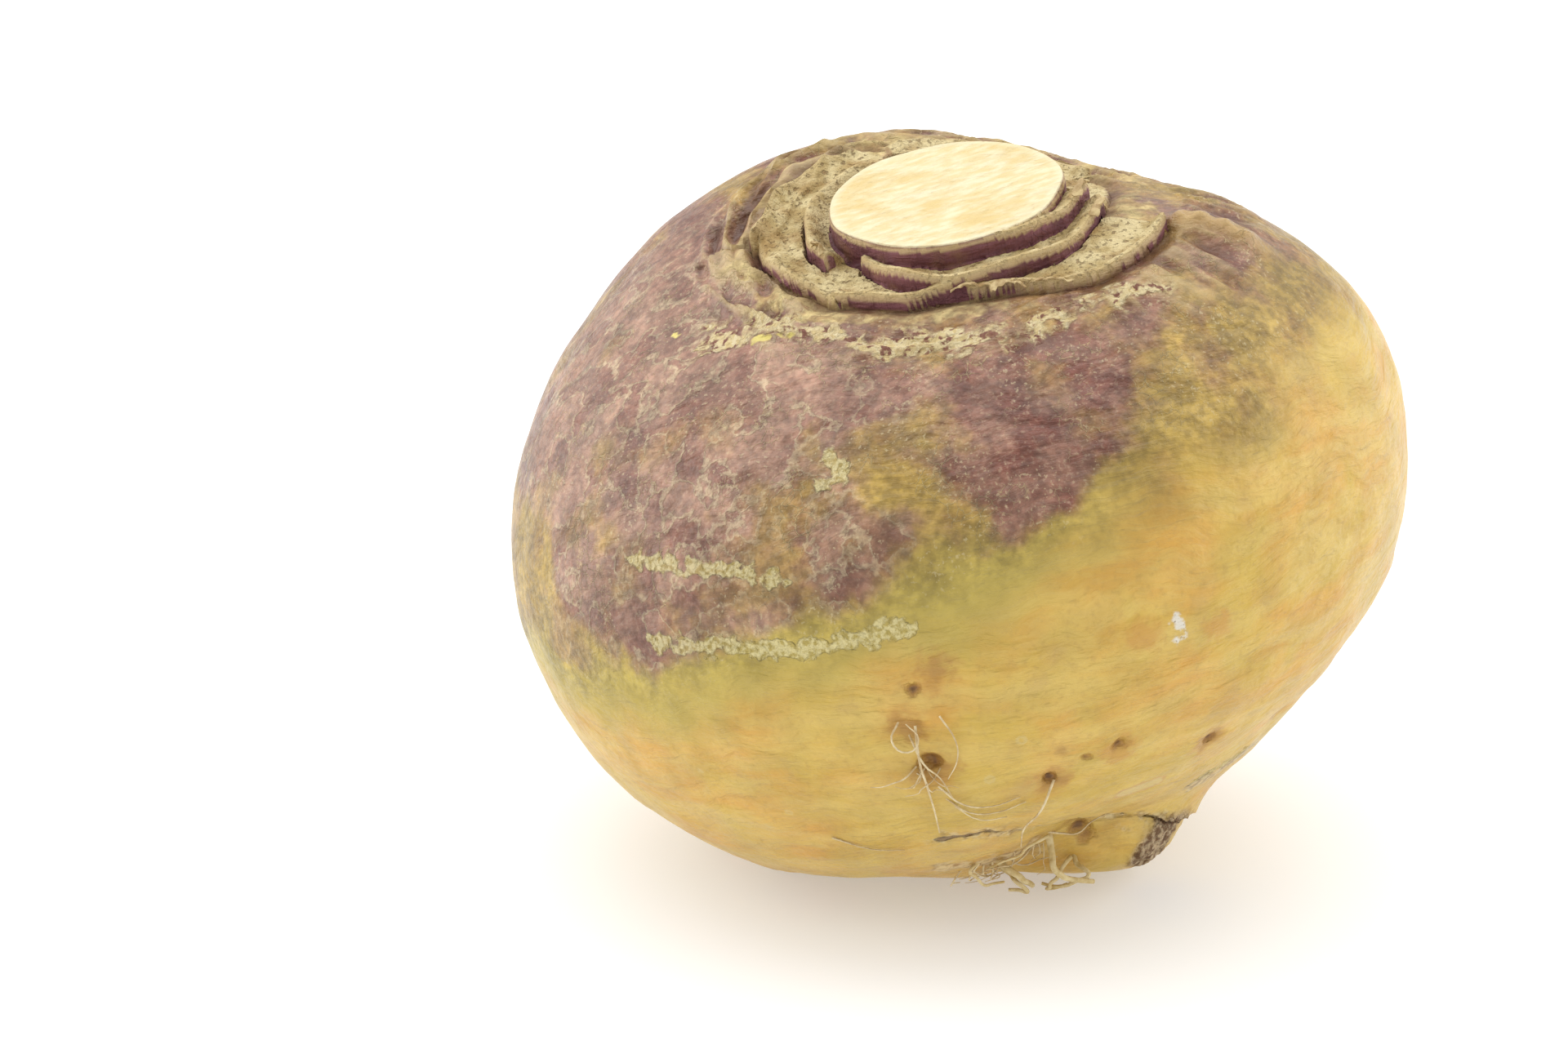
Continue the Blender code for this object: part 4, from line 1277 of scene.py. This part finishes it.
def tuftRoutes(form, spot):
    draw = random.Random(form["seed"])
    routes = []
    for _ in range(form["count"]):
        spread = form["spread"]
        offset = [draw.uniform(-spread, spread), draw.uniform(-1, 1), draw.uniform(-0.4, 0.4) * spread]
        start = np.array(spot) + offset
        way = unit(start)
        polar = math.degrees(math.acos(way[2]))
        azimuth = math.degrees(math.atan2(way[1], way[0]))
        heading = draw.uniform(*form["heading"])
        step = draw.uniform(*form["length"]) / (len(hairForm["lifts"]) - 1)
        stepTurn = math.degrees(step / hairForm["skinRadius"])
        route = []
        for plainLift in hairForm["lifts"]:
            lift = plainLift * draw.uniform(0.6, 1.4)
            route.append(tuple(surfacePoint(azimuth, min(polar, hairForm["lowestPolar"]), lift)))
            heading += draw.uniform(-45, 45)
            azimuth += stepTurn * math.sin(math.radians(heading)) / max(way[2] ** 2, 0.5)
            polar += stepTurn * math.cos(math.radians(heading))
        routes.append((draw.uniform(*form["thickness"]), 0.6, aboveTable(route)))
    return routes


def aboveTable(route):
    floorLevel = -rootForm["centreHeight"] + 0.4
    return [(x, y, max(z, floorLevel)) for x, y, z in route]


def makeHairs(material):
    routes = []
    for thickness, spots in hairForm["long"]:
        route = [tuple(surfacePoint(azimuth, polar, lift)) for azimuth, polar, lift in spots]
        routes.append((thickness, 0.5, aboveTable(route)))
    routes += tuftRoutes(hairForm["tuft"], hairForm["tuftPlace"])
    routes += tuftRoutes(hairForm["pitTuft"], hairForm["pitTuftPlace"])
    piece = curvePiece("hairs", routes, 4, 1)
    dress(piece, material)


# dark and pale colours of the thin pieces
fibreLook = {
    "paperySkin": ((0.38, 0.25, 0.10), (0.64, 0.50, 0.26)),
    "rootletSkin": ((0.52, 0.38, 0.14), (0.70, 0.58, 0.32)),
    "hair": ((0.50, 0.36, 0.17), (0.74, 0.62, 0.38)),
}


def fibreMaterial(name):
    dark, pale = fibreLook[name]
    material = bpy.data.materials.new(name)
    material.use_nodes = True
    tree = material.node_tree
    shader = tree.nodes["Principled BSDF"]
    place = rootPlace(tree)
    mask = mottle(tree, place, 1.8, 0.35, 0.65, 5.0)
    tree.links.new(weave(tree, mask, dark, pale), shader.inputs["Base Color"])
    relief = times(tree, mottle(tree, place, 0.5, 0.2, 0.8, 5.0), 0.1)
    bump = put(tree, "Bump", {"Height": relief, "Distance": mm})
    tree.links.new(bump.outputs[0], shader.inputs["Normal"])
    tree.links.new(fade(tree, mask, -1.5, 1.6), shader.inputs["Roughness"])
    return material


flakeForm = {
    "thickness": 0.22,
    "columns": 22,
    "rows": 7,
    # (lip that it hangs on, azimuths along the lip, height, outward lean, crumple)
    "pieces": [
        (2, -87, -72, 1.5, 1.4, 0.7),
        (2, -74, -64, 1.3, 1.7, 0.7),
        (2, -62, -52, 1.0, 0.9, 0.5),
        (5, -158, -149, 1.9, 1.0, 0.6),
        (0, -14, -3, 1.6, 1.2, 0.6),
        (1, -22, -9, 1.4, 1.5, 0.6),
    ],
}


def makeFlake(number, lip, first, last, rise, lean, crumple):
    # a crumpled papery strip that stands on a lip's edge
    bpy.ops.object.select_all(action="DESELECT")
    columns, rows = flakeForm["columns"], flakeForm["rows"]
    bpy.ops.mesh.primitive_grid_add(x_subdivisions=columns, y_subdivisions=rows, size=2)
    flake = bpy.context.object
    flake.name = f"flake{number}"
    points = np.array([vertex.co for vertex in flake.data.vertices])
    along, up = (points[:, 0] + 1) / 2, (points[:, 1] + 1) / 2
    azimuth = first + (last - first) * along
    radius, depth, _ = lipAt(lip, azimuth)
    grid = np.stack([along * 5, up * 1.5, along * 0 + number * 3.7], 1)
    folds = np.stack([roughness(grid + 9.1 * axis, 0.8) for axis in range(3)], 1)
    folds = folds * crumple * (0.3 + up)[:, None]
    tall = rise * (0.35 + 0.65 * np.sin(math.pi * along) ** 0.7) * (1 + 0.5 * folds[:, 2])
    level = -depth - 0.5 + (0.5 + tall) * up - 0.5 * lean * up**3 + folds[:, 1] * 0.5
    outward = radius - 0.5 + lean * up**2 + folds[:, 0]
    turn = np.radians(azimuth) + folds[:, 1] * 0.5 / radius
    flat = np.cos(turn)[:, None] * crownRight + np.sin(turn)[:, None] * crownBack
    placed = crownCentre + level[:, None] * crownUp + outward[:, None] * flat
    flake.data.vertices.foreach_set("co", ((placed + rootShift) * mm).ravel())
    solid = flake.modifiers.new("thick", "SOLIDIFY")
    solid.thickness = flakeForm["thickness"] * mm
    solid.offset = 0
    bpy.ops.object.modifier_apply(modifier="thick")
    bpy.ops.object.shade_smooth_by_angle(angle=math.radians(40))
    return flake


def makeFlakes(material):
    for number, form in enumerate(flakeForm["pieces"]):
        flake = makeFlake(number, *form)
        dress(flake, material)


makeFlakes(fibreMaterial("paperySkin"))
makeRootlets(fibreMaterial("rootletSkin"))
makeHairs(fibreMaterial("hair"))
print("flakes, rootlets and hairs made")


studio = {
    "elevation": 20.0,
    "distance": 0.642,
    "lens": 100.0,
    "sensor": 36.0,
    "middle": (0.8, -0.7, 52.0),  # the point that the camera's place is measured from
    "aside": 2.325,  # degrees that it looks to the left of that point, and below it
    "below": 0.215,
    "floorSize": 12.0,
    "floorColour": (0.69, 0.69, 0.69, 1),
    "floorGlow": 0.32,
    "skyStrength": 0.76,
}


def makeCamera():
    bpy.ops.object.camera_add()
    camera = bpy.context.object
    camera.name = "camera"
    camera.data.lens, camera.data.sensor_width = studio["lens"], studio["sensor"]
    tilt = math.radians(studio["elevation"])
    middle = Vector(studio["middle"]) * mm
    camera.location = middle + studio["distance"] * Vector((0, -math.cos(tilt), math.sin(tilt)))
    turn = Euler((math.radians(90) - tilt, 0, 0)).to_matrix()
    aim = Matrix.Rotation(math.radians(studio["aside"]), 3, "Y")
    nod = Matrix.Rotation(math.radians(-studio["below"]), 3, "X")
    camera.rotation_euler = (turn @ aim @ nod).to_euler()
    camera.data.clip_start, camera.data.clip_end = 0.01, 50
    bpy.context.scene.camera = camera


def areaLight(name, place, size, power, target=(0, 0, 0.05)):
    bpy.ops.object.light_add(type="AREA", location=place)
    light = bpy.context.object
    light.name = name
    light.data.shape = "RECTANGLE"
    light.data.size, light.data.size_y = size
    light.data.energy = power
    light.rotation_euler = (Vector(target) - Vector(place)).to_track_quat("-Z", "Y").to_euler()


def makeStage():
    bpy.ops.mesh.primitive_plane_add(size=studio["floorSize"])
    floor = bpy.context.object
    floor.name = "floor"
    paper = bpy.data.materials.new("paper")
    paper.use_nodes = True
    shader = paper.node_tree.nodes["Principled BSDF"]
    shader.inputs["Base Color"].default_value = studio["floorColour"]
    shader.inputs["Roughness"].default_value = 0.9
    shader.inputs["Emission Color"].default_value = (1, 1, 1, 1)
    shader.inputs["Emission Strength"].default_value = studio["floorGlow"]
    floor.data.materials.append(paper)
    world = bpy.data.worlds.new("softRoom")
    world.use_nodes = True
    world.node_tree.nodes["Background"].inputs["Color"].default_value = (1, 1, 1, 1)
    world.node_tree.nodes["Background"].inputs["Strength"].default_value = studio["skyStrength"]
    bpy.context.scene.world = world
    areaLight("leftWall", (-0.70, 0.12, 0.35), (0.9, 0.6), 3.4)
    areaLight("rightWall", (0.75, 0.12, 0.35), (0.9, 0.6), 2.6)
    bpy.ops.object.light_add(type="SUN", rotation=(math.radians(-18), 0, 0))
    bpy.context.object.name = "softCeiling"
    bpy.context.object.data.energy = 1.7
    bpy.context.object.data.angle = math.radians(80)
    bpy.context.scene.view_settings.view_transform = "Standard"


makeStage()
makeCamera()
print("stage set")
